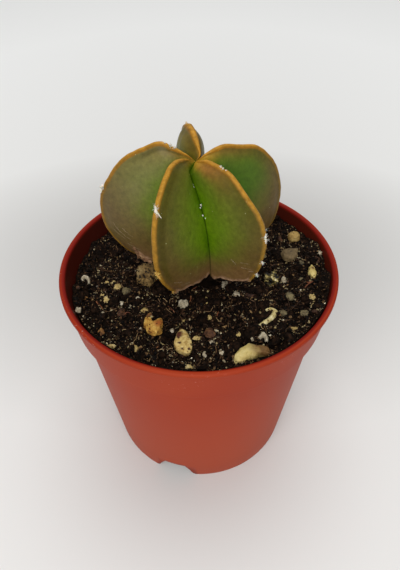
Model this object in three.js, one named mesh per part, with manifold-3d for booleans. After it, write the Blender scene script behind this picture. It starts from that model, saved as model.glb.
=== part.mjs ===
// A potted bishop's cap cactus: a young plant with five wing-like ribs, set in peat in a round plastic nursery pot.
// Millimetres, +Z up. The origin is the middle of the pot's foot, on the surface that the pot stands on.
// An azimuth is in degrees from -Y, the front, towards +X.
import * as THREE from "three";
import { mergeVertices } from "three/addons/utils/BufferGeometryUtils.js";
import { ParametricGeometry } from "three/addons/geometries/ParametricGeometry.js";
import Module from "manifold-3d";

// The pot, a 65 mm moulded nursery pot
const POT_ACROSS = 65;
const POT_HEIGHT = 59.35;
const POT_WALL = 0.9;
const LIP_WIDTH = 1.3;
const LIP_HEIGHT = 1.0;
const COLLAR_RADIUS_TOP = 31.9;
const COLLAR_RADIUS_BOTTOM = 30.95;
const COLLAR_HEIGHT = 10.25;
const BODY_RADIUS_TOP = 29.7;
const FOOT_RADIUS = 25.4;
const FLOOR_UNDERSIDE = 2.2;
const FLOOR_TOP = 3.2;
const POT_SIDES = 60;
const DRAIN_COUNT = 3;
const DRAIN_AZIMUTH = -16.5;
const DRAIN_WIDTH_BOTTOM = 10;
const DRAIN_WIDTH_MIDDLE = 8.6;
const DRAIN_WIDTH_TOP = 5.6;
const DRAIN_HEIGHT = 5.8;
const DRAIN_DEPTH = 5.5;

// The peat and what lies on it
const CLEARANCE = 0.3;
const SOIL_LEVEL = 55.2;
const SOIL_TILT_X = 0.033;
const SOIL_TILT_Y = 0.015;
const SOIL_MOUND = 1.9;
const SOIL_MOUND_RADIUS = 12;
const SOIL_BANK = 2.3;
const SOIL_BANK_WIDTH = 2.4;
const SOIL_LUMP = 0.4;
const SOIL_LUMP_LENGTH = 21;
const SOIL_LUMP_WAVES = 6;
const SOIL_SIDES = 56;
const SOIL_RINGS = 13;
const GOLDEN_ANGLE = Math.PI * (3 - Math.sqrt(5));

// The plant stands on its own axis, which leans a little to the left and back
const PLANT_BASE = new THREE.Vector3(0.8, -1.97, 56);
const LEAN_LEFT = 2.74;
const LEAN_BACK = 2.55;
const APEX = new THREE.Vector3(0.3, 1.0, 29.6);
const CREST_HALF_WIDTH = 0.62;
const CREST_DEPTH = 0.5;
const FACE_STEPS = 4;
const CREST_STEPS = 2;
const RIB_STEPS = 26;
const WOOL_RADIUS = 0.55;
const NECK_RADIUS = 4.6;
const UNDERSIDE_STEPS = 2;
const ROOT = [
  { radius: NECK_RADIUS, up: 2.3 },
  { radius: 4.3, up: -3 },
  { radius: 3.4, up: -9 },
  { radius: 1.6, up: -16 },
  { radius: 0, up: -18 },
];

// Each rib's crest, as points out from the plant's axis, to the side of the rib's plane, and up from the base. The
// swell is how far its two flanks bulge, and wool says how far along the crest its white tufts are left.
const RIBS = [
  {
    azimuth: -99.2,
    swell: 0.9,
    wool: [0.128, 0.545],
    crest: [
      [1.7, -0.1, 31.8],
      [6.0, 0, 34.15],
      [9.8, 0, 33.1],
      [14.6, 0, 30.6],
      [18.2, 0, 26.5],
      [20.9, 0, 21.8],
      [21.6, 0, 16.0],
      [20.4, 0, 11.7],
      [17.6, 0, 7.7],
      [13.5, 0, 5.2],
    ],
  },
  {
    azimuth: -27.2,
    swell: 0.8,
    wool: [0.442, 0.75, 0.974],
    crest: [
      [0.1, -0.64, 30.3],
      [1.95, -0.97, 31.6],
      [5.6, -0.8, 33.0],
      [9.4, -0.25, 33.1],
      [13.3, -0.35, 29.9],
      [16.3, -0.2, 25.8],
      [17.6, -0.15, 20.6],
      [17.7, -0.1, 15.2],
      [15.6, 0, 10.0],
      [12.6, 0, 5.6],
    ],
  },
  {
    azimuth: 44.8,
    swell: 1.0,
    wool: [0.231, 0.647, 0.808, 0.917],
    crest: [
      [0.65, 0.24, 30.4],
      [3.3, 0.1, 31.5],
      [5.6, 0, 31.6],
      [9.5, 0, 30.9],
      [13.6, 0, 27.6],
      [16.9, 0, 24.3],
      [18.4, 0, 20.3],
      [18.0, 0, 15.2],
      [16.8, 0, 11.0],
      [14.9, 0, 7.4],
    ],
  },
  {
    azimuth: 116.8,
    swell: 0.9,
    wool: [0.93],
    crest: [
      [1.5, 0.14, 30.4],
      [2.8, -0.2, 31.35],
      [6.4, 0, 31.95],
      [10.6, 0, 30.8],
      [14.8, 0, 29.4],
      [18.6, 0, 25.4],
      [20.8, 0, 19.9],
      [21.0, 0, 14.6],
      [19.4, 0, 9.0],
      [15.0, 0, 5.6],
    ],
  },
  {
    azimuth: 190,
    swell: 1.35,
    wool: [0.25, 0.56, 0.8],
    crest: [
      [1.2, -1.4, 30.8],
      [2.7, -1.3, 32.4],
      [5.5, -0.95, 34.0],
      [8.0, -0.7, 34.1],
      [11.0, -0.4, 33.0],
      [18.6, 0, 25.5],
      [20.8, 0, 20.0],
      [20.6, 0, 14.5],
      [14.5, 0, 6.0],
    ],
  },
];

// The groove between two ribs, as points out, to the side and up, in the plane midway between the ribs
const GROOVE = [
  [1.9, 0, 27.4],
  [3.5, 0, 24.2],
  [5.0, 0, 18.3],
  [5.7, 0, 11.5],
  [5.3, 0, 5.2],
];
// The front groove starts behind the rib on its left and wanders to the right on its way down.
const FRONT_GROOVE = [
  [0.7, -1.15, 28.2],
  [1.97, -0.92, 27.1],
  [3.44, -0.13, 24.2],
  [4.96, 0.83, 18.3],
  [5.5, 1.25, 11.5],
  [5.3, 1.3, 5.4],
];
const FRONT_RIB = 1;

// Stones, husks and bark on the peat: where each lies, how long, wide and thick it is, and how far it is turned
const CHIPS = [
  { name: "pumice_pebble", x: -12.4, y: -1.7, size: [5.2, 4.4, 4.6], turn: 70, colour: 0x8f8066 },
  { name: "heart_bark_chip", x: -10.1, y: -16.5, size: [4.8, 4.1, 2.2], turn: 80, colour: 0xb3752f },
  { name: "cream_chip", x: -3.6, y: -21.4, size: [6.4, 3.9, 1.8], turn: 105, colour: 0xd2ba84 },
  { name: "long_husk", x: 10.6, y: -25.1, size: [8.2, 4.0, 2.2], turn: 16, colour: 0xd6c48d },
  { name: "bent_husk", x: 15.3, y: -14.6, size: [7.4, 1.9, 1.3], turn: 48, colour: 0xcdbd84 },
  { name: "golden_flake", x: 17.2, y: -3.6, size: [4.0, 3.6, 2.0], turn: 30, colour: 0xb7ad58 },
  { name: "flat_tan_pebble", x: 22.5, y: 4.2, size: [4.4, 3.8, 1.9], turn: 160, colour: 0x8d7f66 },
  { name: "golden_pebble", x: 24.4, y: 10.9, size: [3.2, 2.7, 2.5], turn: 10, colour: 0xb98d4c },
  { name: "cream_husk", x: 26.8, y: -1.8, size: [4.4, 2.1, 1.7], turn: 84, colour: 0xc9b774 },
  { name: "perlite_front", x: -3.6, y: -10.4, size: [2.1, 1.9, 1.7], turn: 0, colour: 0xe6dfd0 },
  { name: "perlite_left", x: -27.1, y: -1.4, size: [2.3, 2.1, 1.7], turn: 40, colour: 0xcfc8ba },
  { name: "perlite_right", x: 13.6, y: -19.9, size: [2.4, 2.0, 1.6], turn: 75, colour: 0xd9d3c4 },
];
const CHIP_SUNK = 0.28;
const CHIP_SIDES = 10;
const CHIP_ROWS = 7;
const CHIP_KNOBBLE = 0.09;

const wasm = await Module();
wasm.setup();

const material = (color, roughness) =>
  new THREE.MeshStandardMaterial({ color, roughness, metalness: 0 });

/** A closed geometry as a solid that can be cut and joined. */
function solidOf(geometry) {
  const bare = geometry.clone();
  bare.deleteAttribute("normal");
  bare.deleteAttribute("uv");
  const merged = mergeVertices(bare, 1e-4);
  return new wasm.Manifold(
    new wasm.Mesh({
      numProp: 3,
      vertProperties: merged.attributes.position.array,
      triVerts: new Uint32Array(merged.index.array),
    }),
  );
}

function geometryOf(solid) {
  const made = solid.getMesh();
  return new THREE.BufferGeometry()
    .setAttribute("position", new THREE.BufferAttribute(made.vertProperties, made.numProp))
    .setIndex(new THREE.BufferAttribute(made.triVerts, 1));
}

/** A lathe about Z of an outline in (radius, height). */
function turned(outline, sides) {
  return new THREE.LatheGeometry(outline, sides).rotateX(Math.PI / 2);
}

/** The unit vectors out from the axis and sideways at an azimuth. */
function directions(azimuth) {
  const angle = THREE.MathUtils.degToRad(azimuth);
  return {
    out: new THREE.Vector3(Math.sin(angle), -Math.cos(angle), 0),
    side: new THREE.Vector3(Math.cos(angle), Math.sin(angle), 0),
  };
}

/** The pot's wall radius outside, below the collar, at a height. */
function bodyRadius(height) {
  const collarFoot = POT_HEIGHT - COLLAR_HEIGHT;
  return THREE.MathUtils.mapLinear(height, 0, collarFoot, FOOT_RADIUS, BODY_RADIUS_TOP);
}

/** The pot's wall radius inside, at a height. */
function innerRadius(height) {
  const collarFoot = POT_HEIGHT - COLLAR_HEIGHT;
  if (height < collarFoot) return bodyRadius(height) - POT_WALL;
  return THREE.MathUtils.mapLinear(
    height,
    collarFoot,
    POT_HEIGHT,
    bodyRadius(collarFoot) - POT_WALL,
    POT_ACROSS / 2 - LIP_WIDTH,
  );
}

function pot() {
  const lipRadius = POT_ACROSS / 2;
  const collarFoot = POT_HEIGHT - COLLAR_HEIGHT;
  const lipFoot = POT_HEIGHT - LIP_HEIGHT;
  const round = 0.45;
  const outline = new THREE.Path();
  outline.moveTo(0, FLOOR_UNDERSIDE);
  outline.lineTo(FOOT_RADIUS - 2 * POT_WALL, FLOOR_UNDERSIDE);
  outline.lineTo(FOOT_RADIUS - POT_WALL, 0);
  outline.lineTo(FOOT_RADIUS, 0);
  outline.lineTo(BODY_RADIUS_TOP, collarFoot);
  outline.lineTo(COLLAR_RADIUS_BOTTOM, collarFoot);
  outline.lineTo(COLLAR_RADIUS_TOP, lipFoot);
  outline.lineTo(lipRadius - round / 2, lipFoot);
  outline.lineTo(lipRadius, lipFoot + round / 2);
  outline.absarc(lipRadius - round, POT_HEIGHT - round, round, 0, Math.PI / 2);
  outline.absarc(lipRadius - LIP_WIDTH + round, POT_HEIGHT - round, round, Math.PI / 2, Math.PI);
  outline.lineTo(innerRadius(collarFoot), collarFoot);
  outline.lineTo(innerRadius(FLOOR_TOP), FLOOR_TOP);
  outline.lineTo(0, FLOOR_TOP);
  let solid = solidOf(turned(outline.getPoints(3), POT_SIDES));

  const opening = new THREE.Shape([
    new THREE.Vector2(-DRAIN_WIDTH_BOTTOM / 2, -1),
    new THREE.Vector2(DRAIN_WIDTH_BOTTOM / 2, -1),
    new THREE.Vector2(DRAIN_WIDTH_BOTTOM / 2, 0),
    new THREE.Vector2(DRAIN_WIDTH_MIDDLE / 2, DRAIN_HEIGHT / 2),
    new THREE.Vector2(DRAIN_WIDTH_TOP / 2, DRAIN_HEIGHT),
    new THREE.Vector2(-DRAIN_WIDTH_TOP / 2, DRAIN_HEIGHT),
    new THREE.Vector2(-DRAIN_WIDTH_MIDDLE / 2, DRAIN_HEIGHT / 2),
    new THREE.Vector2(-DRAIN_WIDTH_BOTTOM / 2, 0),
  ]);
  for (let i = 0; i < DRAIN_COUNT; i++) {
    const cutter = new THREE.ExtrudeGeometry(opening, { depth: 2 * DRAIN_DEPTH, bevelEnabled: false });
    cutter.rotateX(Math.PI / 2);
    cutter.translate(0, -FOOT_RADIUS + DRAIN_DEPTH, 0);
    cutter.rotateZ(THREE.MathUtils.degToRad(DRAIN_AZIMUTH + (360 / DRAIN_COUNT) * i));
    solid = solid.subtract(solidOf(cutter));
  }
  return geometryOf(solid);
}

/** The height of the peat's top: a slight tilt, a mound round the plant, a bank against the front wall, and lumps. */
function soilTop(x, y) {
  const away = Math.hypot(x - PLANT_BASE.x, y - PLANT_BASE.y);
  const middle = Math.hypot(x, y);
  const inward = (innerRadius(SOIL_LEVEL) - middle) / SOIL_BANK_WIDTH;
  const front = THREE.MathUtils.smoothstep(-y / Math.max(middle, 1), -0.6, 0.4);
  let height = SOIL_LEVEL + SOIL_TILT_X * x + SOIL_TILT_Y * y;
  height += SOIL_MOUND * Math.exp(-((away / SOIL_MOUND_RADIUS) ** 2));
  height += SOIL_BANK * front * Math.exp(-(inward ** 2));
  for (let i = 0; i < SOIL_LUMP_WAVES; i++) {
    const heading = i * GOLDEN_ANGLE;
    const along = x * Math.cos(heading) + y * Math.sin(heading);
    const waves = (2 * Math.PI * (1 + 0.4 * i)) / SOIL_LUMP_LENGTH;
    height += (SOIL_LUMP / (1 + 0.3 * i)) * Math.sin(waves * along + 1.7 * i);
  }
  return height;
}

function soil() {
  const floor = FLOOR_TOP + CLEARANCE;
  const step = POT_HEIGHT - COLLAR_HEIGHT;
  const rim = innerRadius(SOIL_LEVEL) - CLEARANCE;
  const outline = [
    new THREE.Vector2(0, floor),
    new THREE.Vector2(innerRadius(floor) - CLEARANCE, floor),
    new THREE.Vector2(innerRadius(step) - CLEARANCE, step),
  ];
  for (let i = 0; i <= SOIL_RINGS; i++) outline.push(new THREE.Vector2(rim * (1 - i / SOIL_RINGS), SOIL_LEVEL));
  const geometry = turned(outline, SOIL_SIDES);
  const place = geometry.attributes.position;
  for (let i = 0; i < place.count; i++) {
    if (place.getZ(i) < SOIL_LEVEL - 1e-3) continue;
    const [x, y] = [place.getX(i), place.getY(i)];
    const height = soilTop(x, y);
    const share = Math.hypot(x, y) / rim;
    const spread = 1 + share ** 2 * ((innerRadius(height) - CLEARANCE) / rim - 1);
    place.setXYZ(i, x * spread, y * spread, height);
  }
  return geometry;
}

/** The plain hole in the peat that the plant's neck and taproot stand in. */
function rootHole() {
  const outline = ROOT.toReversed().map(({ radius, up }) => new THREE.Vector2(radius + CLEARANCE, up));
  outline[0].set(0, outline[0].y - CLEARANCE);
  outline.push(new THREE.Vector2(NECK_RADIUS + CLEARANCE, 8), new THREE.Vector2(0, 8));
  return turned(outline, 20);
}

/** A curve from the apex through points given out, sideways and up at an azimuth. */
function curveFrom(azimuth, points) {
  const { out, side } = directions(azimuth);
  const placed = points.map(([o, s, up]) =>
    new THREE.Vector3(0, 0, up).addScaledVector(out, o).addScaledVector(side, s),
  );
  const curve = new THREE.CatmullRomCurve3([APEX, ...placed], false, "catmullrom", 0.5);
  return curve.getSpacedPoints(RIB_STEPS);
}

const ribs = RIBS.map(({ azimuth, swell, crest }, i) => {
  const next = i + 1 < RIBS.length ? RIBS[i + 1].azimuth : RIBS[0].azimuth + 360;
  return {
    azimuth,
    swell,
    ...directions(azimuth),
    crest: curveFrom(azimuth, crest),
    grooveAzimuth: (azimuth + next) / 2,
    groove: curveFrom((azimuth + next) / 2, i === FRONT_RIB ? FRONT_GROOVE : GROOVE),
  };
});

/** The way out of a rib's edge, square to its crest, at a step along it. */
function crestNormal(rib, step) {
  const before = rib.crest[Math.max(step - 1, 0)];
  const after = rib.crest[Math.min(step + 1, RIB_STEPS)];
  return new THREE.Vector3().crossVectors(rib.side, after.clone().sub(before)).negate().normalize();
}

const RIB_POINTS = 2 * FACE_STEPS + CREST_STEPS;
const AROUND = RIB_POINTS * RIBS.length;

/** A point of the ribs: step counts down from the apex, place counts across a rib from groove to groove. */
function ribPoint(index, step, place, target) {
  const rib = ribs[index];
  const opening = Math.min(1, step / 3);
  const crest = rib.crest[step];
  const normal = crestNormal(rib, step);
  const across = THREE.MathUtils.clamp(place - FACE_STEPS, 0, CREST_STEPS);
  const angle = Math.PI * (across / CREST_STEPS);
  target.copy(crest);
  target.addScaledVector(rib.side, -Math.cos(angle) * CREST_HALF_WIDTH * opening);
  target.addScaledVector(normal, (Math.sin(angle) - 1) * CREST_DEPTH * opening);
  if (across > 0 && across < CREST_STEPS) return;
  const left = across === 0;
  const groove = left ? ribs[(index + RIBS.length - 1) % RIBS.length].groove[step] : rib.groove[step];
  const share = left ? 1 - place / FACE_STEPS : (place - FACE_STEPS - CREST_STEPS) / FACE_STEPS;
  const swell = rib.swell * 5.4 * share * (1 - share) ** 1.5 * Math.min(1, step / 5);
  target.lerp(groove, share).addScaledVector(rib.side, left ? -swell : swell);
}

/** A point of the neck and taproot, at a share of the way round. */
function rootPoint(around, { radius, up }, target) {
  const index = Math.floor(around / RIB_POINTS) % RIBS.length;
  const end = ribs[index].grooveAzimuth;
  const start = ribs[(index + RIBS.length - 1) % RIBS.length].grooveAzimuth - (index === 0 ? 360 : 0);
  const azimuth = THREE.MathUtils.lerp(start, end, (around % RIB_POINTS) / RIB_POINTS);
  target.copy(directions(azimuth).out).multiplyScalar(radius).setZ(up);
}

function cactusSkin() {
  const stacks = RIB_STEPS + UNDERSIDE_STEPS + ROOT.length - 1;
  const neck = new THREE.Vector3();
  return new ParametricGeometry(
    (u, v, target) => {
      const around = Math.round((1 - u) * AROUND) % AROUND;
      const step = Math.round(v * stacks);
      const under = step - RIB_STEPS;
      if (under < UNDERSIDE_STEPS)
        ribPoint(Math.floor(around / RIB_POINTS), Math.min(step, RIB_STEPS), around % RIB_POINTS, target);
      if (under <= 0) return;
      rootPoint(around, ROOT[Math.max(under - UNDERSIDE_STEPS, 0)], neck);
      target.lerp(neck, Math.min(under / UNDERSIDE_STEPS, 1));
    },
    AROUND,
    stacks,
  );
}

/** The plant, one solid: five ribs, the woolly tufts on their crests, the neck and the taproot. */
function cactus() {
  let solid = solidOf(cactusSkin());
  RIBS.forEach(({ wool }, i) => {
    for (const share of wool) {
      const step = Math.round(share * RIB_STEPS);
      const tuft = new THREE.IcosahedronGeometry(WOOL_RADIUS, 0);
      tuft.scale(0.9, 0.9, 1.3);
      tuft.translate(...ribs[i].crest[step].toArray());
      solid = solid.add(solidOf(tuft));
    }
  });
  return geometryOf(solid);
}

/** A knobbly stone or husk, its belly cut to lie on the peat. */
function chip({ x, y, size, turn }, index, ground) {
  const geometry = new THREE.SphereGeometry(0.5, CHIP_SIDES, CHIP_ROWS);
  const place = geometry.attributes.position;
  const point = new THREE.Vector3();
  for (let i = 0; i < place.count; i++) {
    point.fromBufferAttribute(place, i);
    const knob = Math.sin(7 * point.x + index) * Math.cos(6 * point.y - 2 * index) + Math.sin(8 * point.z + index);
    point.multiplyScalar(1 + CHIP_KNOBBLE * knob);
    place.setXYZ(i, ...point.toArray());
  }
  geometry.rotateX(Math.PI / 2);
  geometry.scale(...size);
  geometry.rotateZ(THREE.MathUtils.degToRad(turn));
  geometry.translate(x, y, soilTop(x, y) + CLEARANCE + size[2] * (0.5 - CHIP_SUNK));
  return geometryOf(solidOf(geometry).subtract(solidOf(ground)));
}

function named(name, geometry, finish) {
  const mesh = new THREE.Mesh(geometry, finish);
  mesh.name = name;
  return mesh;
}

const part = new THREE.Group();
const soilPlug = soil();
part.add(named("pot", pot(), material(0xa8432f, 0.45)));

const plant = new THREE.Group();
plant.position.copy(PLANT_BASE);
plant.rotation.set(THREE.MathUtils.degToRad(-LEAN_BACK), THREE.MathUtils.degToRad(-LEAN_LEFT), 0);
plant.add(named("cactus_body", cactus(), material(0x5f6a2c, 0.5)));
plant.updateMatrixWorld(true);
part.add(plant);

const hole = solidOf(rootHole().applyMatrix4(plant.matrixWorld));
part.add(named("soil", geometryOf(solidOf(soilPlug).subtract(hole)), material(0x1d1611, 0.95)));

const ground = soilPlug.clone().translate(0, 0, CLEARANCE);
CHIPS.forEach((piece, i) => part.add(named(piece.name, chip(piece, i, ground), material(piece.colour, 0.85))));

export default part;
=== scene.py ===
# A potted bishop's cap cactus: the looks of its skin, pot and peat, built round the fixed frame.
# Sizes are in millimetres, and MM turns them to metres. An azimuth is in degrees from -Y, the front, to +X.
import math
import random

import bmesh
import bpy
from mathutils import Matrix, Vector, geometry, noise


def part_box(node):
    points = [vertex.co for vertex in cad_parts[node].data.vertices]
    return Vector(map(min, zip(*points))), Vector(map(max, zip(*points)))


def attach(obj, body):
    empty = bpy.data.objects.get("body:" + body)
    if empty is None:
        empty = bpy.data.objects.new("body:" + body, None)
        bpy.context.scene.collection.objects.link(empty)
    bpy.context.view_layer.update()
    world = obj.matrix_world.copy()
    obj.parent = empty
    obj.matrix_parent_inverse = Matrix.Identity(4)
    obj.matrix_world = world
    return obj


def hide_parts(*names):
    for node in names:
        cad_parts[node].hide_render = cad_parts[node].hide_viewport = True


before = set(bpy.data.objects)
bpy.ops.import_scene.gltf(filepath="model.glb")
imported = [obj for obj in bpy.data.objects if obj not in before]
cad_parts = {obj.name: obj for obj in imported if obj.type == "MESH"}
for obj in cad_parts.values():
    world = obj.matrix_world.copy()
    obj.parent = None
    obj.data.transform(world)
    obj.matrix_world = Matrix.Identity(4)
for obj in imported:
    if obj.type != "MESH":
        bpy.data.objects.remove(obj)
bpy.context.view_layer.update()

# ---- The table, the light and the camera
# The pot stands on a sheet of matt white card under a wide, soft daylight that comes from above and all
# round, so the shadows are faint. None of this is part of the object.
MM = 0.001
CARD_HALF_WIDTH = 3000
CAMERA_PLACE = (0, -84.36, 135.46)
CAMERA_PITCH = 44.95
CAMERA_YAW = 0.18
CAMERA_ROLL = -0.60
CAMERA_LENS = 30.32
CLIP_START = 10
# Painted shade on the card: the middle and reach of a wide darker field round the pot, and of one in the
# shade behind the pot
PAINTED_SHADE_FIELDS = (((0, 40, 0), (250, 330, 300)), ((0, 72, 0), (140, 88, 100)))
SKY_STRENGTH = 0.38


def linear(shade):
    """The linear RGBA of a colour given as sRGB hex digits."""
    channels = [int(shade[i : i + 2], 16) / 255 for i in (0, 2, 4)]
    return [c / 12.92 if c <= 0.04045 else ((c + 0.055) / 1.055) ** 2.4 for c in channels] + [1.0]


def add(tree, kind, inputs, stops=(), **settings):
    """Adds a shader node. An input takes a number, sRGB hex digits, another node or one of its outputs."""
    node = tree.nodes.new("ShaderNode" + kind)
    for name, value in settings.items():
        setattr(node, name, value)
    for i, (place, shade) in enumerate(stops):
        ramp = node.color_ramp.elements
        stop = ramp[i] if i < len(ramp) else ramp.new(place)
        stop.position = place
        stop.color = linear(shade)
    for name, value in inputs.items():
        if isinstance(value, bpy.types.Node):
            value = next(output for output in value.outputs if output.enabled)
        if isinstance(value, bpy.types.NodeSocket):
            tree.links.new(value, node.inputs[name])
        else:
            node.inputs[name].default_value = linear(value) if isinstance(value, str) else value
    return node


def blank(name):
    """A new material's node tree, and the object coordinates in it."""
    material = bpy.data.materials.new(name)
    material.use_nodes = True
    material.node_tree.nodes.clear()
    return material.node_tree, add(material.node_tree, "TexCoord", {}).outputs["Object"]


def nearness(tree, at, middle, reach):
    """A field that is 1 at a middle and falls to 0 at its reach along each axis, in millimetres."""
    inputs = {"Vector": at, "Location": [c * MM for c in middle], "Scale": [c * MM for c in reach]}
    local = add(tree, "Mapping", inputs, vector_type="TEXTURE")
    return add(tree, "TexGradient", {"Vector": local}, gradient_type="SPHERICAL").outputs["Fac"]


def per(size):
    """The scale of a texture whose pattern is this many millimetres across."""
    return 1 / (size * MM)


def piece(name, shape, tree, sharp=35):
    """Puts a bmesh into the scene as a smooth object, with edges kept sharp above an angle."""
    mesh = bpy.data.meshes.new(name)
    shape.to_mesh(mesh)
    shape.free()
    mesh.shade_smooth()
    mesh.set_sharp_from_angle(angle=math.radians(sharp))
    mesh.materials.append(next(m for m in bpy.data.materials if m.node_tree == tree))
    made = bpy.data.objects.new(name, mesh)
    bpy.context.scene.collection.objects.link(made)
    return made


card, card_at = blank("matt white card")
# The card is painted darker round the pot and behind it, as painted shade
wide_painted_shade, rear_painted_shadow = (nearness(card, card_at, middle, reach) for middle, reach in PAINTED_SHADE_FIELDS)
card_with_wide_shade = add(card, "ValToRGB", {"Fac": wide_painted_shade}, [(0.0, "f6f6f4"), (1.0, "dad9d6")])
card_shade = add(card, "Mix", {0: rear_painted_shadow, 6: card_with_wide_shade, 7: "afada9"}, data_type="RGBA")
card_look = {"Base Color": card_shade, "Roughness": 0.85}
add(card, "OutputMaterial", {"Surface": add(card, "BsdfPrincipled", card_look)})
sheet = bmesh.new()
bmesh.ops.create_grid(sheet, x_segments=4, y_segments=4, size=CARD_HALF_WIDTH * MM)
piece("table_card", sheet, card)

sky = bpy.data.worlds.new("soft room light")
sky.use_nodes = True
sky_shader = sky.node_tree.nodes["Background"]
sky_shader.inputs["Color"].default_value = linear("f3f4f5")
sky_shader.inputs["Strength"].default_value = SKY_STRENGTH
bpy.context.scene.world = sky

for name, place, across, power in (
    ("window light", (-90, -640, 700), 900, 6.0),
    ("ceiling light", (40, 330, 1250), 900, 5.8),
):
    lamp = bpy.data.lights.new(name, "AREA")
    lamp.shape = "DISK"
    lamp.size = across * MM
    lamp.energy = power
    lamp_object = bpy.data.objects.new(name, lamp)
    bpy.context.scene.collection.objects.link(lamp_object)
    toward = -Vector(place)
    turn = toward.to_track_quat("-Z", "Y").to_matrix().to_4x4()
    lamp_object.matrix_world = Matrix.Translation(Vector(place) * MM) @ turn

lens = bpy.data.cameras.new("camera")
lens.lens = CAMERA_LENS
lens.clip_start = CLIP_START * MM
camera = bpy.data.objects.new("camera", lens)
bpy.context.scene.collection.objects.link(camera)
camera.matrix_world = (
    Matrix.Translation(Vector(CAMERA_PLACE) * MM)
    @ Matrix.Rotation(math.radians(-CAMERA_YAW), 4, "Z")
    @ Matrix.Rotation(math.radians(90 - CAMERA_PITCH), 4, "X")
    @ Matrix.Rotation(math.radians(CAMERA_ROLL), 4, "Z")
)
bpy.context.scene.camera = camera
bpy.context.scene.view_settings.view_transform = "Standard"

# ---- The pot
# A round nursery pot, injection moulded in one piece from terracotta-red polypropylene. Its wall tapers to
# the foot, with a wider collar and a rolled lip at the top, and three drain notches in the foot's edge.
POT_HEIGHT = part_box("pot")[1].z / MM
LIP_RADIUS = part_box("pot")[1].x / MM
LIP_WIDTH = 1.3
LIP_HEIGHT = 1.0
LIP_ROUND = 0.45
POT_WALL = 0.9
COLLAR_RADIUS_TOP = 31.9
COLLAR_RADIUS_BOTTOM = 30.95
COLLAR_FOOT = POT_HEIGHT - 10.25
BODY_RADIUS_TOP = 29.7
FOOT_RADIUS = 25.4
FLOOR_UNDERSIDE = 2.2
FLOOR_TOP = 3.2
# The notches: how many, the azimuth of the first, the outline of the cut as sideways and up, how deep the
# cut goes and how far out it starts, and the height of a ring of vertices that keeps the wall above even.
DRAIN_COUNT = 3
DRAIN_AZIMUTH = -16.5
DRAIN_OUTLINE = (
    (-6.4, -1), (6.4, -1), (5.9, 0.2), (5.1, 0.8), (4.6, 1.8), (4.2, 3.1), (2.8, 5.8), (-2.8, 5.8),
    (-4.2, 3.1), (-4.6, 1.8), (-5.1, 0.8), (-5.9, 0.2)
)
DRAIN_DEPTH = 11
DRAIN_START = 19.9
DRAIN_RING = 6.3
INNER_SHADE_FROM = 0.8


def smooth(low, high, value):
    """0 below low, 1 above high, and a smooth rise between them."""
    share = min(max((value - low) / (high - low), 0), 1)
    return share * share * (3 - 2 * share)


def wall_inside(height):
    """The pot's inner radius at a height."""
    if height > COLLAR_FOOT:
        share = (height - COLLAR_FOOT) / (POT_HEIGHT - COLLAR_FOOT)
        start = BODY_RADIUS_TOP - POT_WALL
        return start + (LIP_RADIUS - LIP_WIDTH - start) * share
    return FOOT_RADIUS + (BODY_RADIUS_TOP - FOOT_RADIUS) * height / COLLAR_FOOT - POT_WALL


def turned(outline, steps, segments=5):
    """A closed round body: (radius, height, rounding) corners, rounded and turned about the axis."""
    body = bmesh.new()
    corners = [body.verts.new((radius * MM, 0, height * MM)) for radius, height, rounding in outline]
    for pair in zip(corners, corners[1:]):
        body.edges.new(pair)
    for corner, (radius, height, rounding) in zip(corners, outline):
        if rounding:
            bmesh.ops.bevel(
                body, geom=[corner], offset=rounding * MM, affect="VERTICES", segments=segments, profile=0.5,
                material=-1
            )
    wire = body.verts[:] + body.edges[:]
    bmesh.ops.spin(
        body, geom=wire, axis=(0, 0, 1), cent=(0, 0, 0), angle=math.tau, steps=steps, use_merge=True
    )
    bmesh.ops.remove_doubles(body, verts=body.verts, dist=0.001 * MM)
    bmesh.ops.recalc_face_normals(body, faces=body.faces)
    return body


def cut(body, tool):
    """Cuts a closed mesh object out of another, and drops it."""
    boolean = body.modifiers.new("cut", "BOOLEAN")
    boolean.operation = "DIFFERENCE"
    boolean.solver = "EXACT"
    boolean.object = tool
    with bpy.context.temp_override(object=body, active_object=body):
        bpy.ops.object.modifier_apply(modifier=boolean.name)
    bpy.data.objects.remove(tool)


# Polypropylene from a polished mould is satin and a little waxy. Handling leaves pale scuffs on its edges.
plastic, plastic_at = blank("moulded polypropylene, terracotta red")
plastic_flow = add(plastic, "TexNoise", {"Vector": plastic_at, "Scale": per(26), "Detail": 3})
plastic_shade = add(
    plastic, "ValToRGB", {"Fac": plastic_flow}, [(0.3, "982f10"), (0.55, "9c3212"), (0.75, "a23916")]
)
scuff_squash = add(plastic, "Mapping", {"Vector": plastic_at, "Scale": (1, 1, 2.2)})
scuff_spots = add(
    plastic, "TexNoise", {"Vector": scuff_squash, "Scale": per(0.9), "Detail": 5, "Roughness": 0.75}
)
scuff_sharp = add(plastic, "MapRange", {"Value": scuff_spots, "From Min": 0.62, "From Max": 0.68})
scuff_fields = add(plastic, "TexNoise", {"Vector": plastic_at, "Scale": per(17), "Detail": 2})
scuff_field = add(plastic, "MapRange", {"Value": scuff_fields, "From Min": 0.47, "From Max": 0.58})
scuff_up = add(plastic, "SeparateXYZ", {"Vector": plastic_at}).outputs["Z"]
scuff_height = add(
    plastic, "MapRange",
    {"Value": scuff_up, "From Min": (COLLAR_FOOT - 1) * MM, "From Max": (COLLAR_FOOT + 0.4) * MM}
)
scuff_here = add(plastic, "Math", {0: scuff_sharp, 1: scuff_field}, operation="MULTIPLY")
scuff = add(plastic, "Math", {0: scuff_here, 1: scuff_height}, operation="MULTIPLY")
plastic_shade = add(plastic, "Mix", {0: scuff, 6: plastic_shade, 7: "e3b9ab"}, data_type="RGBA")
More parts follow.
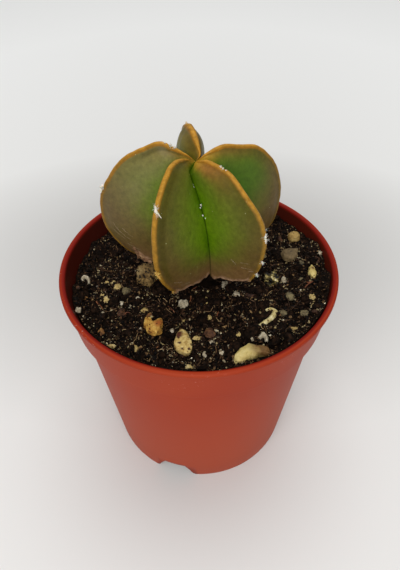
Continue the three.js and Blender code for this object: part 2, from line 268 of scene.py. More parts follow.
for mark, shade in (("faded", "a8472b"), ("lip_darkening", "7a160a"), ("painted_inner_shade", "2c0c07")):
    reach = add(plastic, "Attribute", {}, attribute_name=mark).outputs["Fac"]
    plastic_shade = add(plastic, "Mix", {0: reach, 6: plastic_shade, 7: shade}, data_type="RGBA")
plastic_peel = add(plastic, "TexNoise", {"Vector": plastic_at, "Scale": per(0.7), "Detail": 2})
plastic_bump = add(plastic, "Bump", {"Height": plastic_peel, "Strength": 0.12, "Distance": 0.05 * MM})
plastic_gloss = add(plastic, "MapRange", {"Value": plastic_flow, "To Min": 0.48, "To Max": 0.56})
plastic_look = {
    "Base Color": plastic_shade, "Roughness": plastic_gloss, "IOR": 1.49, "Specular IOR Level": 0.12,
    "Normal": plastic_bump
}
add(plastic, "OutputMaterial", {"Surface": add(plastic, "BsdfPrincipled", plastic_look)})

pot_outline = (
    (0, FLOOR_UNDERSIDE, 0), (FOOT_RADIUS - 2 * POT_WALL, FLOOR_UNDERSIDE, 0.2),
    (FOOT_RADIUS - POT_WALL, 0, 0.2), (FOOT_RADIUS, 0, 0.35),
    (FOOT_RADIUS + (BODY_RADIUS_TOP - FOOT_RADIUS) * DRAIN_RING / COLLAR_FOOT, DRAIN_RING, 0),
    (BODY_RADIUS_TOP, COLLAR_FOOT, 0.3), (COLLAR_RADIUS_BOTTOM, COLLAR_FOOT, 0.4),
    (COLLAR_RADIUS_TOP, POT_HEIGHT - LIP_HEIGHT, 0.25), (LIP_RADIUS, POT_HEIGHT - LIP_HEIGHT, 0.22),
    (LIP_RADIUS, POT_HEIGHT, LIP_ROUND), (LIP_RADIUS - LIP_WIDTH, POT_HEIGHT, LIP_ROUND),
    (wall_inside(POT_HEIGHT - INNER_SHADE_FROM), POT_HEIGHT - INNER_SHADE_FROM, 0),
    (wall_inside(COLLAR_FOOT), COLLAR_FOOT, 0.6), (wall_inside(DRAIN_RING), DRAIN_RING, 0),
    (wall_inside(FLOOR_TOP), FLOOR_TOP, 0.5), (0, FLOOR_TOP, 0)
)
pot_shape = turned(pot_outline, steps=192)
# The foot and the lip's outer face are painted paler: painted light, at the foot as light bounced up from the
# card. Inside, the wall below the lip is painted darker as painted shade, most at the back and the left. The
# lip is darker along its inner edge, most at the front and back, and on its outer face at the sides.
faded, lip_darkening, painted_inner_shade = (pot_shape.verts.layers.float.new(mark) for mark in ("faded", "lip_darkening", "painted_inner_shade"))
for vert in pot_shape.verts:
    radius, height = vert.co.xy.length / MM, vert.co.z / MM
    aside = abs(vert.co.x) / MM / LIP_RADIUS
    # Painted shade on the inner wall below the lip, more towards the back and the left
    if radius < wall_inside(height) + 0.3:
        vert[painted_inner_shade] = smooth(0.1, INNER_SHADE_FROM, POT_HEIGHT - height)
        vert[painted_inner_shade] *= 0.84 + (0.1 * vert.co.y - 0.04 * vert.co.x) / MM / LIP_RADIUS
    # The lip is darker crimson along its inner edge, widest at the front and back
    if height > POT_HEIGHT - LIP_ROUND:
        darker_width = 1.2 - 0.6 * aside
        vert[lip_darkening] = 1 - smooth(LIP_RADIUS - darker_width, LIP_RADIUS - darker_width + 0.3, radius)
    # Painted light: paler towards the foot, as light bounced up from the card
    vert[faded] = max(1 - height / COLLAR_FOOT, 0)
    # Painted light on the lip's outer face, less towards the sides
    if height > POT_HEIGHT - LIP_HEIGHT - 0.05 and radius > LIP_RADIUS - 0.4:
        vert[faded] = 0.3 * (1 - aside)
        vert[lip_darkening] = max(vert[lip_darkening], 0.5 * aside)
nursery_pot = piece("nursery_pot", pot_shape, plastic)
notches = bmesh.new()
for i in range(DRAIN_COUNT):
    profile = [notches.verts.new((x * MM, -DRAIN_START * MM, z * MM)) for x, z in DRAIN_OUTLINE]
    face = notches.faces.new(profile)
    grown = bmesh.ops.extrude_face_region(notches, geom=[face])["geom"]
    grown = [part for part in grown if isinstance(part, bmesh.types.BMVert)]
    bmesh.ops.translate(notches, verts=grown, vec=(0, -DRAIN_DEPTH * MM, 0))
    azimuth = math.radians(DRAIN_AZIMUTH + 360 / DRAIN_COUNT * i)
    bmesh.ops.rotate(notches, verts=profile + grown, cent=(0, 0, 0), matrix=Matrix.Rotation(azimuth, 3, "Z"))
bmesh.ops.recalc_face_normals(notches, faces=notches.faces)
cut(nursery_pot, piece("drain_cutters", notches, plastic))
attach(nursery_pot, "root")
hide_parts("pot")

# ---- The peat
# The pot is filled to just under the lip with moist, crumbly potting peat, pressed lightly round the plant.
# So it mounds up there, has a rough, open top, and lies banked up against the front of the wall.
SOIL_LEVEL = 55.2
SOIL_TILT = (0.033, 0.015)
SOIL_MOUND = 1.9
SOIL_MOUND_RADIUS = 12
SOIL_BANK = 2.3
SOIL_BANK_WIDTH = 2.4
SOIL_LUMP = 0.4
SOIL_LUMP_LENGTH = 21
SOIL_LUMP_WAVES = 6
SOIL_GAP = 0.3
SOIL_ROUGH = 0.75
GOLDEN_ANGLE = math.pi * (3 - math.sqrt(5))
PLANT_BASE = Vector((0.8, -1.97, 56))


def peat_level(x, y):
    """The height of the peat under its crumbs."""
    away = math.hypot(x - PLANT_BASE.x, y - PLANT_BASE.y)
    level = SOIL_LEVEL + SOIL_TILT[0] * x + SOIL_TILT[1] * y
    level += SOIL_MOUND * math.exp(-((away / SOIL_MOUND_RADIUS) ** 2))
    middle = math.hypot(x, y)
    inward = (wall_inside(SOIL_LEVEL) - middle) / SOIL_BANK_WIDTH
    level += SOIL_BANK * smooth(-0.6, 0.4, -y / max(middle, 1)) * math.exp(-(inward**2))
    for i in range(SOIL_LUMP_WAVES):
        along = x * math.cos(i * GOLDEN_ANGLE) + y * math.sin(i * GOLDEN_ANGLE)
        turns = math.tau * (1 + 0.4 * i) / SOIL_LUMP_LENGTH
        level += SOIL_LUMP / (1 + 0.3 * i) * math.sin(turns * along + 1.7 * i)
    return level


def peat_top(x, y):
    """The height of the peat with its crumbly roughness."""
    rough = noise.fractal(Vector((x / 2.6, y / 2.6, 3.1)), 0.9, 2.1, 4)
    return peat_level(x, y) + SOIL_ROUGH * rough - 0.1


def on_peat(x, y, lift=0):
    """The point of the peat's top at a place, spread so that the top meets the sloping wall."""
    height = peat_top(x, y)
    spread = 1 + (x * x + y * y) / peat_rim**2 * ((wall_inside(height) - SOIL_GAP) / peat_rim - 1)
    return Vector((x * spread, y * spread, height + lift))


# Moist sphagnum peat: nearly black, with browner and drier crumbs that catch the light.
peat, peat_at = blank("moist sphagnum peat")
peat_patches = add(peat, "TexNoise", {"Vector": peat_at, "Scale": per(1.1), "Detail": 6, "Roughness": 0.7})
peat_shade = add(
    peat, "ValToRGB", {"Fac": peat_patches},
    [(0.35, "050302"), (0.5, "120b06"), (0.62, "291a10"), (0.78, "4d3622")]
)
peat_grit = add(peat, "TexNoise", {"Vector": peat_at, "Scale": per(0.35), "Detail": 4})
peat_bump = add(peat, "Bump", {"Height": peat_grit, "Strength": 0.9, "Distance": 0.3 * MM})
peat_look = {"Base Color": peat_shade, "Roughness": 0.8, "Specular IOR Level": 0.06, "Normal": peat_bump}
add(peat, "OutputMaterial", {"Surface": add(peat, "BsdfPrincipled", peat_look)})

peat_floor = FLOOR_TOP + SOIL_GAP
peat_rim = wall_inside(SOIL_LEVEL) - SOIL_GAP
PEAT_RINGS = 88
peat_outline = [(0, peat_floor, 0), (wall_inside(peat_floor) - SOIL_GAP, peat_floor, 0)]
peat_outline.append((wall_inside(COLLAR_FOOT) - SOIL_GAP, COLLAR_FOOT, 0))
peat_outline += [(peat_rim * (1 - i / PEAT_RINGS), SOIL_LEVEL, 0) for i in range(PEAT_RINGS + 1)]
plug = turned(peat_outline, steps=220)
for vert in plug.verts:
    if vert.co.z > (SOIL_LEVEL - 0.01) * MM:
        vert.co = on_peat(vert.co.x / MM, vert.co.y / MM) * MM
peat_plug = piece("peat_plug", plug, peat, sharp=180)
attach(peat_plug, "root")
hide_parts("soil")

# ---- Peat crumbs
# Loose crumbs of the same peat lie all over its top, each a small clod of moss fibre and humus.
# How clear the crumbs stay of the neck, and of each chip as a share of its box. Then how many are made at a
# time, how much they tip over, and how wide the patches are that the pale grit lies in.
NECK_CLEAR = 5.2
CHIP_CLEAR = 0.86
BATCH = 400
GRAIN_TILT = 0.45
PATCH_SIZE = 4.5
PEBBLES = [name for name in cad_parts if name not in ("pot", "cactus_body", "soil")]


def free_spot(draw, reach):
    """A random place on the peat, clear of the plant's neck and of the stones and husks."""
    while True:
        away = reach * math.sqrt(draw.random())
        angle = draw.uniform(0, math.tau)
        x, y = away * math.cos(angle), away * math.sin(angle)
        if math.hypot(x - PLANT_BASE.x, y - PLANT_BASE.y) < NECK_CLEAR:
            continue
        for low, high in pebble_boxes:
            middle, half = (low + high) / 2, (high - low) / 2
            if math.hypot((x * MM - middle.x) / half.x, (y * MM - middle.y) / half.y) < CHIP_CLEAR:
                break
        else:
            return x, y


def scatter(name, tree, count, sizes, flatness, sink, seed, patchy=False, detail=1):
    """A piece of many small loose grains on the peat, made in batches so that each stays quick."""
    draw = random.Random(seed)
    batches = []
    for start in range(0, count, BATCH):
        batch = bmesh.new()
        for _ in range(min(BATCH, count - start)):
            size = sizes[0] + (sizes[1] - sizes[0]) * draw.random() ** 2.2
            x, y = free_spot(draw, peat_rim - 0.4 * size)
            while patchy and 0.36 + 1.3 * noise.noise(Vector((x, y, seed)) / PATCH_SIZE) < draw.random():
                x, y = free_spot(draw, peat_rim - 0.4 * size)
            high = size * draw.uniform(*flatness)
            pitch, roll = draw.gauss(0, GRAIN_TILT), draw.gauss(0, GRAIN_TILT)
            tilt = Matrix.Rotation(pitch, 4, "X") @ Matrix.Rotation(roll, 4, "Y")
            place = on_peat(x, y, high * (0.5 - sink)) * MM
            extent = Vector((size, size * draw.uniform(0.6, 1), high, 1))
            scale = Matrix.Diagonal(extent * Vector((MM, MM, MM, 1)))
            turn = Matrix.Rotation(draw.uniform(0, math.tau), 4, "Z")
            grain = bmesh.ops.create_icosphere(
                batch, subdivisions=detail, radius=0.5, matrix=Matrix.Translation(place) @ tilt @ turn @ scale
            )
            for vert in grain["verts"]:
                vert.co = place + (vert.co - place) * draw.uniform(0.7, 1.15)
        batches.append(piece(name, batch, tree, sharp=25))
    chosen = {"selected_objects": batches, "selected_editable_objects": batches}
    with bpy.context.temp_override(object=batches[0], active_object=batches[0], **chosen):
        bpy.ops.object.join()
    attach(batches[0], "root")
    return batches[0]


pebble_boxes = [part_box(name) for name in PEBBLES]

# Each crumb has its own shade, from wet black to dry brown, as crumbs of peat do.
crumb, crumb_at = blank("peat crumbs")
crumb_own = add(crumb, "NewGeometry", {}).outputs["Random Per Island"]
crumb_shade = add(
    crumb, "ValToRGB", {"Fac": crumb_own},
    [(0.0, "030201"), (0.45, "0b0603"), (0.7, "1c110a"), (0.87, "382417"), (0.96, "5c432c"), (1.0, "8d7048")]
)
crumb_grit = add(crumb, "TexNoise", {"Vector": crumb_at, "Scale": per(0.4), "Detail": 3})
crumb_bump = add(crumb, "Bump", {"Height": crumb_grit, "Strength": 0.8, "Distance": 0.2 * MM})
crumb_wet = add(crumb, "MapRange", {"Value": crumb_grit, "To Min": 0.3, "To Max": 0.9})
crumb_look = {
    "Base Color": crumb_shade, "Roughness": crumb_wet, "Specular IOR Level": 0.09, "Normal": crumb_bump
}
add(crumb, "OutputMaterial", {"Surface": add(crumb, "BsdfPrincipled", crumb_look)})
scatter("peat_crumbs", crumb, 7600, (0.3, 1.35), (0.5, 0.9), 0.2, seed=11)
scatter("peat_clods", peat, 260, (1.3, 3.4), (0.5, 0.8), 0.28, seed=12, detail=2)

# ---- Grit and flakes in the peat
# Small pale grains of perlite, quartz sand and husk that were mixed into the peat show as bright specks. The
# palest of them are also painted glints, standing in for light caught on wet crumbs.
grit = blank("perlite, sand and husk grit")[0]
grit_own = add(grit, "NewGeometry", {}).outputs["Random Per Island"]
grit_and_glint_shade = add(
    grit, "ValToRGB", {"Fac": grit_own},
    [(0.0, "33261a"), (0.35, "5f4a2c"), (0.6, "86703f"), (0.78, "8f8468"), (0.9, "b8a470"), (1.0, "dcd3ba")]
)
grit_look = {"Base Color": grit_and_glint_shade, "Roughness": 0.5}
add(grit, "OutputMaterial", {"Surface": add(grit, "BsdfPrincipled", grit_look)})
scatter("pale_grit", grit, 2900, (0.18, 0.8), (0.35, 0.8), 0.0, seed=23, patchy=True)

# ---- Fibres in the peat
# Fine roots and moss stems, dried brown or tan, lie over the crumbs like threads.
# A few coarser, redder ones stand out.
FIBRE_COUNT = 330
FIBRE_THICK = 0.15
FIBRE_POINTS = 7
FIBRE_REACH = 28.5
# Each coarse fibre's start (x, y), heading in degrees, and length
COARSE_FIBRES = (
    (-1.9, -8.4, -82, 3.1), (-1.4, -7.3, 12, 1.4), (-17.5, -13.9, 14, 3.0), (-23.9, -8.3, -44, 3.0),
    (-7.0, -11.5, 24, 2.4), (6.6, -7.7, 4, 2.1), (24.6, -5.8, 24, 3.9), (25.0, -5.0, 12, 2.4),
    (3.8, -14.8, 78, 1.8), (-9.4, -22.4, 30, 2.6)
)


def threads(name, tree, lines, thickness, tip=0.6):
    """One piece of many round strands, each a line of points in millimetres, thinner towards its end."""
    curve = bpy.data.curves.new(name, "CURVE")
    curve.dimensions = "3D"
    curve.bevel_depth = thickness / 2 * MM
    curve.bevel_resolution = 0
    curve.use_fill_caps = True
    for line in lines:
        spline = curve.splines.new("POLY")
        spline.points.add(len(line) - 1)
        for i, place in enumerate(line):
            spline.points[i].co = (*(Vector(place) * MM), 1)
            spline.points[i].radius = 1 + (tip - 1) * i / (len(line) - 1)
    wire = bpy.data.objects.new(name, curve)
    bpy.context.scene.collection.objects.link(wire)
    shape = bmesh.new()
    shape.from_mesh(wire.evaluated_get(bpy.context.evaluated_depsgraph_get()).to_mesh())
    bpy.data.objects.remove(wire)
    made = piece(name, shape, tree, sharp=60)
    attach(made, "root")
    return made


def lying_thread(draw, x, y, heading, length):
    """The points of a thread that wanders over the peat."""
    line = []
    for _ in range(FIBRE_POINTS):
        line.append(on_peat(x, y, draw.uniform(0.15, 0.55)))
        heading += draw.gauss(0, 0.32)
        x += length / FIBRE_POINTS * math.cos(heading)
        y += length / FIBRE_POINTS * math.sin(heading)
    return line


# Dead plant fibre: dull, brown to straw, and a little glossy where it is still damp.
fibre, fibre_at = blank("dried moss and root fibre")
fibre_own = add(fibre, "NewGeometry", {}).outputs["Random Per Island"]
fibre_shade = add(
    fibre, "ValToRGB", {"Fac": fibre_own},
    [(0.0, "1f130b"), (0.45, "3f2a1a"), (0.75, "6b4c30"), (0.92, "94744c"), (1.0, "b89a6c")]
)
fibre_grain = add(fibre, "TexNoise", {"Vector": fibre_at, "Scale": per(0.6), "Detail": 2})
fibre_gloss = add(fibre, "MapRange", {"Value": fibre_grain, "To Min": 0.4, "To Max": 0.8})
fibre_look = {"Base Color": fibre_shade, "Roughness": fibre_gloss, "Specular IOR Level": 0.3}
add(fibre, "OutputMaterial", {"Surface": add(fibre, "BsdfPrincipled", fibre_look)})
red_fibre, red_at = blank("red-brown root fibre")
red_grain = add(red_fibre, "TexNoise", {"Vector": red_at, "Scale": per(0.8), "Detail": 3})
red_shade = add(
    red_fibre, "ValToRGB", {"Fac": red_grain}, [(0.3, "4a2414"), (0.55, "7c4528"), (0.75, "a67a50")]
)
red_look = {"Base Color": red_shade, "Roughness": 0.6, "Specular IOR Level": 0.3}
add(red_fibre, "OutputMaterial", {"Surface": add(red_fibre, "BsdfPrincipled", red_look)})

fibre_draw = random.Random(31)
fine_lines = []
while len(fine_lines) < FIBRE_COUNT:
    x, y = free_spot(fibre_draw, FIBRE_REACH)
    line = lying_thread(fibre_draw, x, y, fibre_draw.uniform(0, math.tau), fibre_draw.uniform(1.0, 4.5))
    if max(math.hypot(x, y) for x, y, z in line) < FIBRE_REACH:
        fine_lines.append(line)
threads("fine_fibres", fibre, fine_lines, FIBRE_THICK)
coarse_lines = [lying_thread(fibre_draw, x, y, math.radians(way), far) for x, y, way, far in COARSE_FIBRES]
threads("coarse_fibres", red_fibre, coarse_lines, 2 * FIBRE_THICK)

# ---- Stones, husks and bark on the peat
# The larger things mixed into the peat, each where it happened to lie: pumice and perlite gravel, flat
# river grit, chips of bark, and dry husks, whole or torn. All are sunk a little into the crumbs.
PEBBLE_SUNK = 0.5
CURVE_STEPS = 40


def weathered(name, stops, mottle, pit, pit_shade, pit_share=0.3, rough=0.75, patch=None):
    """A dry natural surface: mottled colour, dark pits and a fine grain, with one patch of another shade."""
    tree, at = blank(name)
    clouds = add(tree, "TexNoise", {"Vector": at, "Scale": per(mottle), "Detail": 6, "Roughness": 0.65})
    shade = add(tree, "ValToRGB", {"Fac": clouds}, stops)
    if patch:
        middle, reach, patch_shade = patch
        torn = add(
            tree, "Math", {0: nearness(tree, at, middle, [reach] * 3), 1: clouds}, operation="MULTIPLY"
        )
        fade = add(tree, "MapRange", {"Value": torn, "From Min": 0.08, "From Max": 0.3})
        shade = add(tree, "Mix", {0: fade, 6: shade, 7: patch_shade}, data_type="RGBA")
    # The pits darken where the bump dips: their own colour and painted shade in the hollows
    cells = add(tree, "TexVoronoi", {"Vector": at, "Scale": per(pit)})
    warp = add(tree, "Math", {0: clouds, 1: -0.5}, operation="ADD")
    hollow = add(tree, "Math", {0: warp, 1: cells.outputs["Distance"]}, operation="ADD")
    pits = add(tree, "MapRange", {"Value": hollow, "From Min": pit_share, "From Max": pit_share * 0.55})
    pitted = add(tree, "Mix", {0: pits, 6: shade, 7: pit_shade}, data_type="RGBA")
    grain = add(tree, "TexNoise", {"Vector": at, "Scale": per(0.3), "Detail": 4, "Roughness": 0.7})
    deep = add(tree, "Math", {0: grain, 1: pits}, operation="SUBTRACT")
    bump = add(tree, "Bump", {"Height": deep, "Strength": 0.6, "Distance": 0.15 * MM})
    look = {"Base Color": pitted, "Roughness": rough, "Specular IOR Level": 0.3, "Normal": bump}
    add(tree, "OutputMaterial", {"Surface": add(tree, "BsdfPrincipled", look)})
    return tree


def reach_at(outline, turn):
    """How far an outline of (x, y) corners lies from its middle, at an angle."""
    corners = sorted((math.atan2(y, x), math.hypot(x, y)) for x, y in outline)
    first, last = corners[0], corners[-1]
    corners = [(last[0] - math.tau, last[1])] + corners + [(first[0] + math.tau, first[1])]
    for (start, near), (end, far) in zip(corners, corners[1:]):
        if turn <= end:
            return near + (far - near) * (turn - start) / (end - start)


def pebble(name, node, outline, tree, square=0.7, rough=0.12, lump=1.5, seed=0):
    """A stone or husk made one by one: its outline is seen from above, in millimetres from its node's middle.
    """
    low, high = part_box(node)
    middle, bottom = (low + high) / 2, low.z - PEBBLE_SUNK * MM
    shape = bmesh.new()
    bmesh.ops.create_icosphere(shape, subdivisions=5, radius=1)
    for vert in shape.verts:
        way = vert.co.normalized()
        knobs = 1 + rough * noise.fractal(way * lump + Vector((seed, 0, 0)), 0.8, 2.1, 6)
        across = way.xy.normalized() * reach_at(outline, math.atan2(way.y, way.x)) * way.xy.length**square
        rise = math.copysign(abs(way.z) ** square, way.z) * (high.z - bottom) / 2
        x, y = middle.x + across.x * knobs * MM, middle.y + across.y * knobs * MM
        vert.co = (x, y, (high.z + bottom) / 2 + rise * knobs)
    made = piece(name, shape, tree, sharp=60)
    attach(made, "root")
    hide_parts(node)


def smooth_line(knots, count):
    """Evenly spaced points of the smooth curve through a list of knots."""
    knots = [2 * knots[0] - knots[1]] + knots + [2 * knots[-1] - knots[-2]]
    fine = []
    for before, start, end, after in zip(knots, knots[1:], knots[2:], knots[3:]):
        leave, arrive = start + (end - before) / 6, end - (after - start) / 6
        fine += geometry.interpolate_bezier(start, leave, arrive, end, CURVE_STEPS)[:-1]
    fine.append(knots[-2])
    walked = [0]
    for a, b in zip(fine, fine[1:]):
        walked.append(walked[-1] + (b - a).length)
    spaced, at = [], 0
    for i in range(count + 1):
        target = walked[-1] * i / count
        while at < len(fine) - 2 and walked[at + 1] < target:
            at += 1
        share = (target - walked[at]) / (walked[at + 1] - walked[at])
        spaced.append(fine[at].lerp(fine[at + 1], share))
    return spaced


STRIP_STEPS = 72
STRIP_COLUMNS = 10


def strip(name, node, spine, tree, thick=0.3, torn=0.25, seed=0):
    """A narrow torn husk, arched across: its spine is (x, y, half width) from its node's middle."""
    low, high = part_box(node)
    middle = (low + high) / 2
    line = smooth_line([Vector(knot) for knot in spine], STRIP_STEPS)
    shape = bmesh.new()
    bmesh.ops.create_grid(shape, x_segments=STRIP_STEPS, y_segments=STRIP_COLUMNS, size=0.5)
    for vert in shape.verts:
        step = round((vert.co.x + 0.5) * STRIP_STEPS)
        across = vert.co.y * 2
        ahead = (line[min(step + 1, STRIP_STEPS)] - line[max(step - 1, 0)]).xy.normalized()
        wide = line[step].z * (1 + torn * noise.fractal(Vector((step / 5, across, seed)), 0.8, 2.2, 4))
        place = line[step].xy + Vector((-ahead.y, ahead.x)) * across * wide
        arch = 1 - 0.7 * across**2 + 0.15 * noise.noise(Vector((step / 6, across, seed + 5)))
        humped = math.sin(math.pi * (0.2 + 0.6 * step / STRIP_STEPS))
        height = low.z + (high.z - low.z - thick * MM) * arch * humped
        vert.co = (middle.x + place.x * MM, middle.y + place.y * MM, height)
    bmesh.ops.solidify(shape, geom=shape.faces[:], thickness=thick * MM)
    bmesh.ops.recalc_face_normals(shape, faces=shape.faces)
    made = piece(name, shape, tree, sharp=60)
    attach(made, "root")
    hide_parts(node)


# Pumice is a grey-brown volcanic froth, full of holes. One side of this one is paler tan.
pumice = weathered(
    "porous pumice", [(0.3, "523e22"), (0.5, "84683c"), (0.7, "a08350")], mottle=1.4, pit=0.75,
    pit_shade="1c1712", pit_share=0.42, patch=((-14.2, -2.2, 58.0), 2.2, "9a8256")
)
pebble(
    "pumice_stone", "pumice_pebble",
    (
        (2.3, 0.3), (2.2, 1.4), (1.2, 2.3), (-0.3, 2.5), (-1.5, 1.9), (-2.2, 0.8), (-2.2, -0.6), (-2.0, -1.7),
        (-1.2, -2.4), (-0.2, -2.0), (0.8, -2.2), (1.8, -1.3)
    ),
    pumice, square=0.6, rough=0.3, lump=2.2, seed=3
)
# River grit is dense and worn smooth, tan or golden with iron.
tan_grit = weathered(
    "tan river grit", [(0.3, "4a3b25"), (0.55, "6b593b"), (0.75, "86714d")], mottle=1.8, pit=1.5,
    pit_shade="4a3c2a", pit_share=0.2
)
pebble(
    "tan_stone", "flat_tan_pebble",
    (
        (2.1, 0.9), (1.9, 1.9), (1.2, 1.5), (0.2, 1.7), (-1.2, 1.6), (-2.0, 0.9), (-2.2, -0.3), (-1.8, -1.4),
        (-0.8, -2.0), (0.4, -1.8), (1.3, -1.2), (1.6, 0.2)
    ),
    tan_grit, seed=8
)
golden_grit = weathered(
    "golden river grit", [(0.3, "7a5c2c"), (0.5, "a3854a"), (0.75, "c3a86c")], mottle=1.4, pit=1.2,
    pit_shade="5e3d22", pit_share=0.22
)
pebble(
    "golden_stone", "golden_pebble",
    ((1.6, 0.2), (1.2, 1.1), (0.2, 1.4), (-1.0, 1.1), (-1.6, 0.1), (-1.3, -1.0), (-0.2, -1.4), (1.1, -1.1)),
    golden_grit, square=0.85, seed=12
)
# Pine bark weathers golden outside and stays red-brown in its layers.
heart_bark = weathered(
    "weathered pine bark", [(0.32, "643412"), (0.44, "9c6e28"), (0.55, "c29644"), (0.72, "dab868")],
    mottle=1.5, pit=0.8, pit_shade="572a10", pit_share=0.3, patch=((-8.6, -16.4, 57.2), 2.2, "97501c")
)
pebble(
    "bark_heart", "heart_bark_chip",
    (
        (2.0, 1.5), (1.4, 2.0), (0.8, 1.5), (0.1, 0.9), (-0.2, 1.0), (-0.5, 1.9), (-1.2, 2.4), (-1.8, 2.2),
        (-1.9, 0.8), (-1.4, -0.9), (-0.7, -2.0), (0.3, -2.4), (1.2, -2.2), (1.8, -0.9), (2.1, 0.3)
    ),
    heart_bark, rough=0.16, lump=2, seed=21
)
# A flat piece of seed rind: straw-cream, pitted, with dark red-brown holes at one end.
cream_rind = weathered(
    "pitted straw-cream rind", [(0.3, "8c6834"), (0.46, "bd9f5c"), (0.7, "dbc586")], mottle=0.8, pit=1.5,
    pit_shade="3f1c10", pit_share=0.32, patch=((-4.4, -19.5, 56.4), 1.45, "512714")
)
pebble(
    "cream_seed_rind", "cream_chip",
    (
        (-0.2, 3.6), (0.7, 2.9), (1.3, 1.9), (1.7, 0.7), (1.8, -0.5), (1.8, -1.9), (1.5, -2.8), (0.9, -3.0),
        (0.0, -2.5), (-1.1, -1.9), (-1.7, -0.8), (-1.8, 0.3), (-1.4, 1.7), (-0.9, 2.9)
    ),
    cream_rind, square=0.5, rough=0.08, seed=30
)
# A long seed husk: smooth and khaki-yellow at one end, brown and frayed at the other.
long_seed = weathered(
    "smooth khaki seed husk", [(0.3, "9c8544"), (0.5, "c3ad69"), (0.72, "dccb8e")], mottle=2.2, pit=1.3,
    pit_shade="6b4f2a", pit_share=0.22, rough=0.5, patch=((14.0, -24.0, 57.6), 5.2, "6f4f28")
)
pebble(
    "long_seed_husk", "long_husk",
    (
        (-3.9, -1.1), (-3.4, -0.1), (-2.8, 0.7), (-1.6, 1.6), (-0.6, 2.2), (0.5, 2.1), (1.4, 1.9), (2.3, 2.0),
        (3.2, 1.6), (3.8, 0.4), (4.0, -0.2), (3.0, 0.1), (2.0, -0.5), (1.2, -0.5), (0.5, -1.2), (-0.4, -1.2),
        (-0.9, -1.7), (-1.6, -2.1), (-2.2, -2.2), (-2.6, -2.9), (-3.1, -2.6), (-3.7, -2.1)
    ),
    long_seed, square=0.75, rough=0.1, lump=2.2, seed=41
)
pebble(
    "pale_seed_husk", "cream_husk",
    (
        (0.2, 2.2), (0.6, 1.2), (0.75, 0.0), (0.7, -1.3), (0.3, -2.1), (-0.3, -2.0), (-0.65, -1.1),
        (-0.65, 0.3), (-0.2, 1.5)
    ),
    long_seed, seed=44
)
# The golden shell is thin, glossy and crumpled. Its near-white is painted glints, and its black gaps between
# the folds are painted shade.
shell = weathered(
    "crumpled golden-green shell", [(0.38, "100c06"), (0.5, "4e421c"), (0.57, "b7a35f"), (0.68, "f7f2d8")],
    mottle=1.3, pit=1.4, pit_shade="0b0906", pit_share=0.52, rough=0.35
)
pebble(
    "golden_shell", "golden_flake",
    (
        (1.3, 0.3), (1.2, 1.3), (0.6, 1.7), (0.1, 2.1), (-0.5, 1.5), (-1.0, 1.4), (-1.6, 0.5), (-1.5, -0.6),
        (-0.8, -1.2), (0.0, -1.9), (0.7, -1.6), (1.1, -0.7)
    ),
    shell, square=0.6, rough=0.5, lump=2.6, seed=52
)
bent_seed = weathered(
    "torn yellow husk", [(0.3, "8f7a42"), (0.48, "bfae74"), (0.66, "dccf9f"), (0.78, "ece5cc")], mottle=1.2,
    pit=1.1, pit_shade="5f3c1e", pit_share=0.24, rough=0.6
)
strip(
    "bent_seed_husk", "bent_husk",
    (
        (-3.6, -3.2, 0.25), (-2.7, -2.6, 0.35), (-1.7, -1.9, 0.4), (-0.7, -1.2, 0.55), (0.2, -0.5, 0.5),
        (1.0, 0.3, 0.6), (1.5, 1.2, 0.58), (1.7, 2.0, 0.55), (1.2, 2.5, 0.42), (0.4, 2.7, 0.38),
        (-0.3, 2.2, 0.28)
    ),
    bent_seed, seed=61
)
# Perlite is a white volcanic glass, puffed up by heat, with a chalky, blistered surface.
perlite = weathered(
    "puffed white perlite", [(0.3, "85785f"), (0.5, "ac9f85"), (0.72, "d2c8b1")], mottle=0.9, pit=0.8,
    pit_shade="8c8272", pit_share=0.22
)
pebble(
    "perlite_grain", "perlite_front",
    ((1.0, 0.1), (0.7, 0.8), (0.0, 0.6), (-0.6, 0.9), (-1.0, 0.1), (-0.8, -0.7), (0.0, -1.0), (0.8, -0.7)),
    perlite, square=0.85, rough=0.32, lump=2.6, seed=72
)
strip(
    "perlite_hook", "perlite_left",
    (
        (0.9, -1.3, 0.24), (0.8, -0.4, 0.34), (0.3, 0.5, 0.4), (-0.5, 0.8, 0.36), (-0.9, 0.1, 0.3),
        (-0.5, -0.5, 0.22)
    ),
    perlite, seed=75
)
strip(
    "perlite_caret", "perlite_right",
    (
        (-1.1, -0.5, 0.3), (-0.6, 0.1, 0.4), (0.0, 0.7, 0.5), (0.4, 0.2, 0.45), (0.6, -0.5, 0.38),
        (0.5, -1.3, 0.25)
    ),
    perlite, seed=78
)

# ---- Small loose grains
# Smaller grains of the same gravel, husk and bark, from 1 to 3 mm.
# Each is listed with its place, width and depth.
WHITE_GRAINS = (
    (5.9, -5.8, 1.4, 2.4), (8.5, -8.8, 1.5, 1.7), (20.0, -3.6, 1.2, 2.2), (-26.6, -12.5, 1.3, 1.6),
    (4.5, -23.7, 1.0, 1.2), (6.5, -22.5, 1.2, 1.6), (8.4, -22.6, 1.0, 1.0), (2.6, -21.8, 1.0, 1.0),
    (-6.0, -17.5, 0.9, 1.0), (-22.0, -12.0, 1.0, 1.1), (-17.8, -9.0, 0.9, 1.3), (3.7, -19.0, 0.9, 0.8),
    (1.1, -24.3, 0.9, 1.4), (-14.0, -8.7, 0.8, 0.8), (-12.8, -17.6, 0.6, 1.5), (11.1, -20.2, 0.7, 2.0),
    (-15.8, -10.8, 0.9, 0.8), (29.2, 4.2, 1.1, 1.4)
)
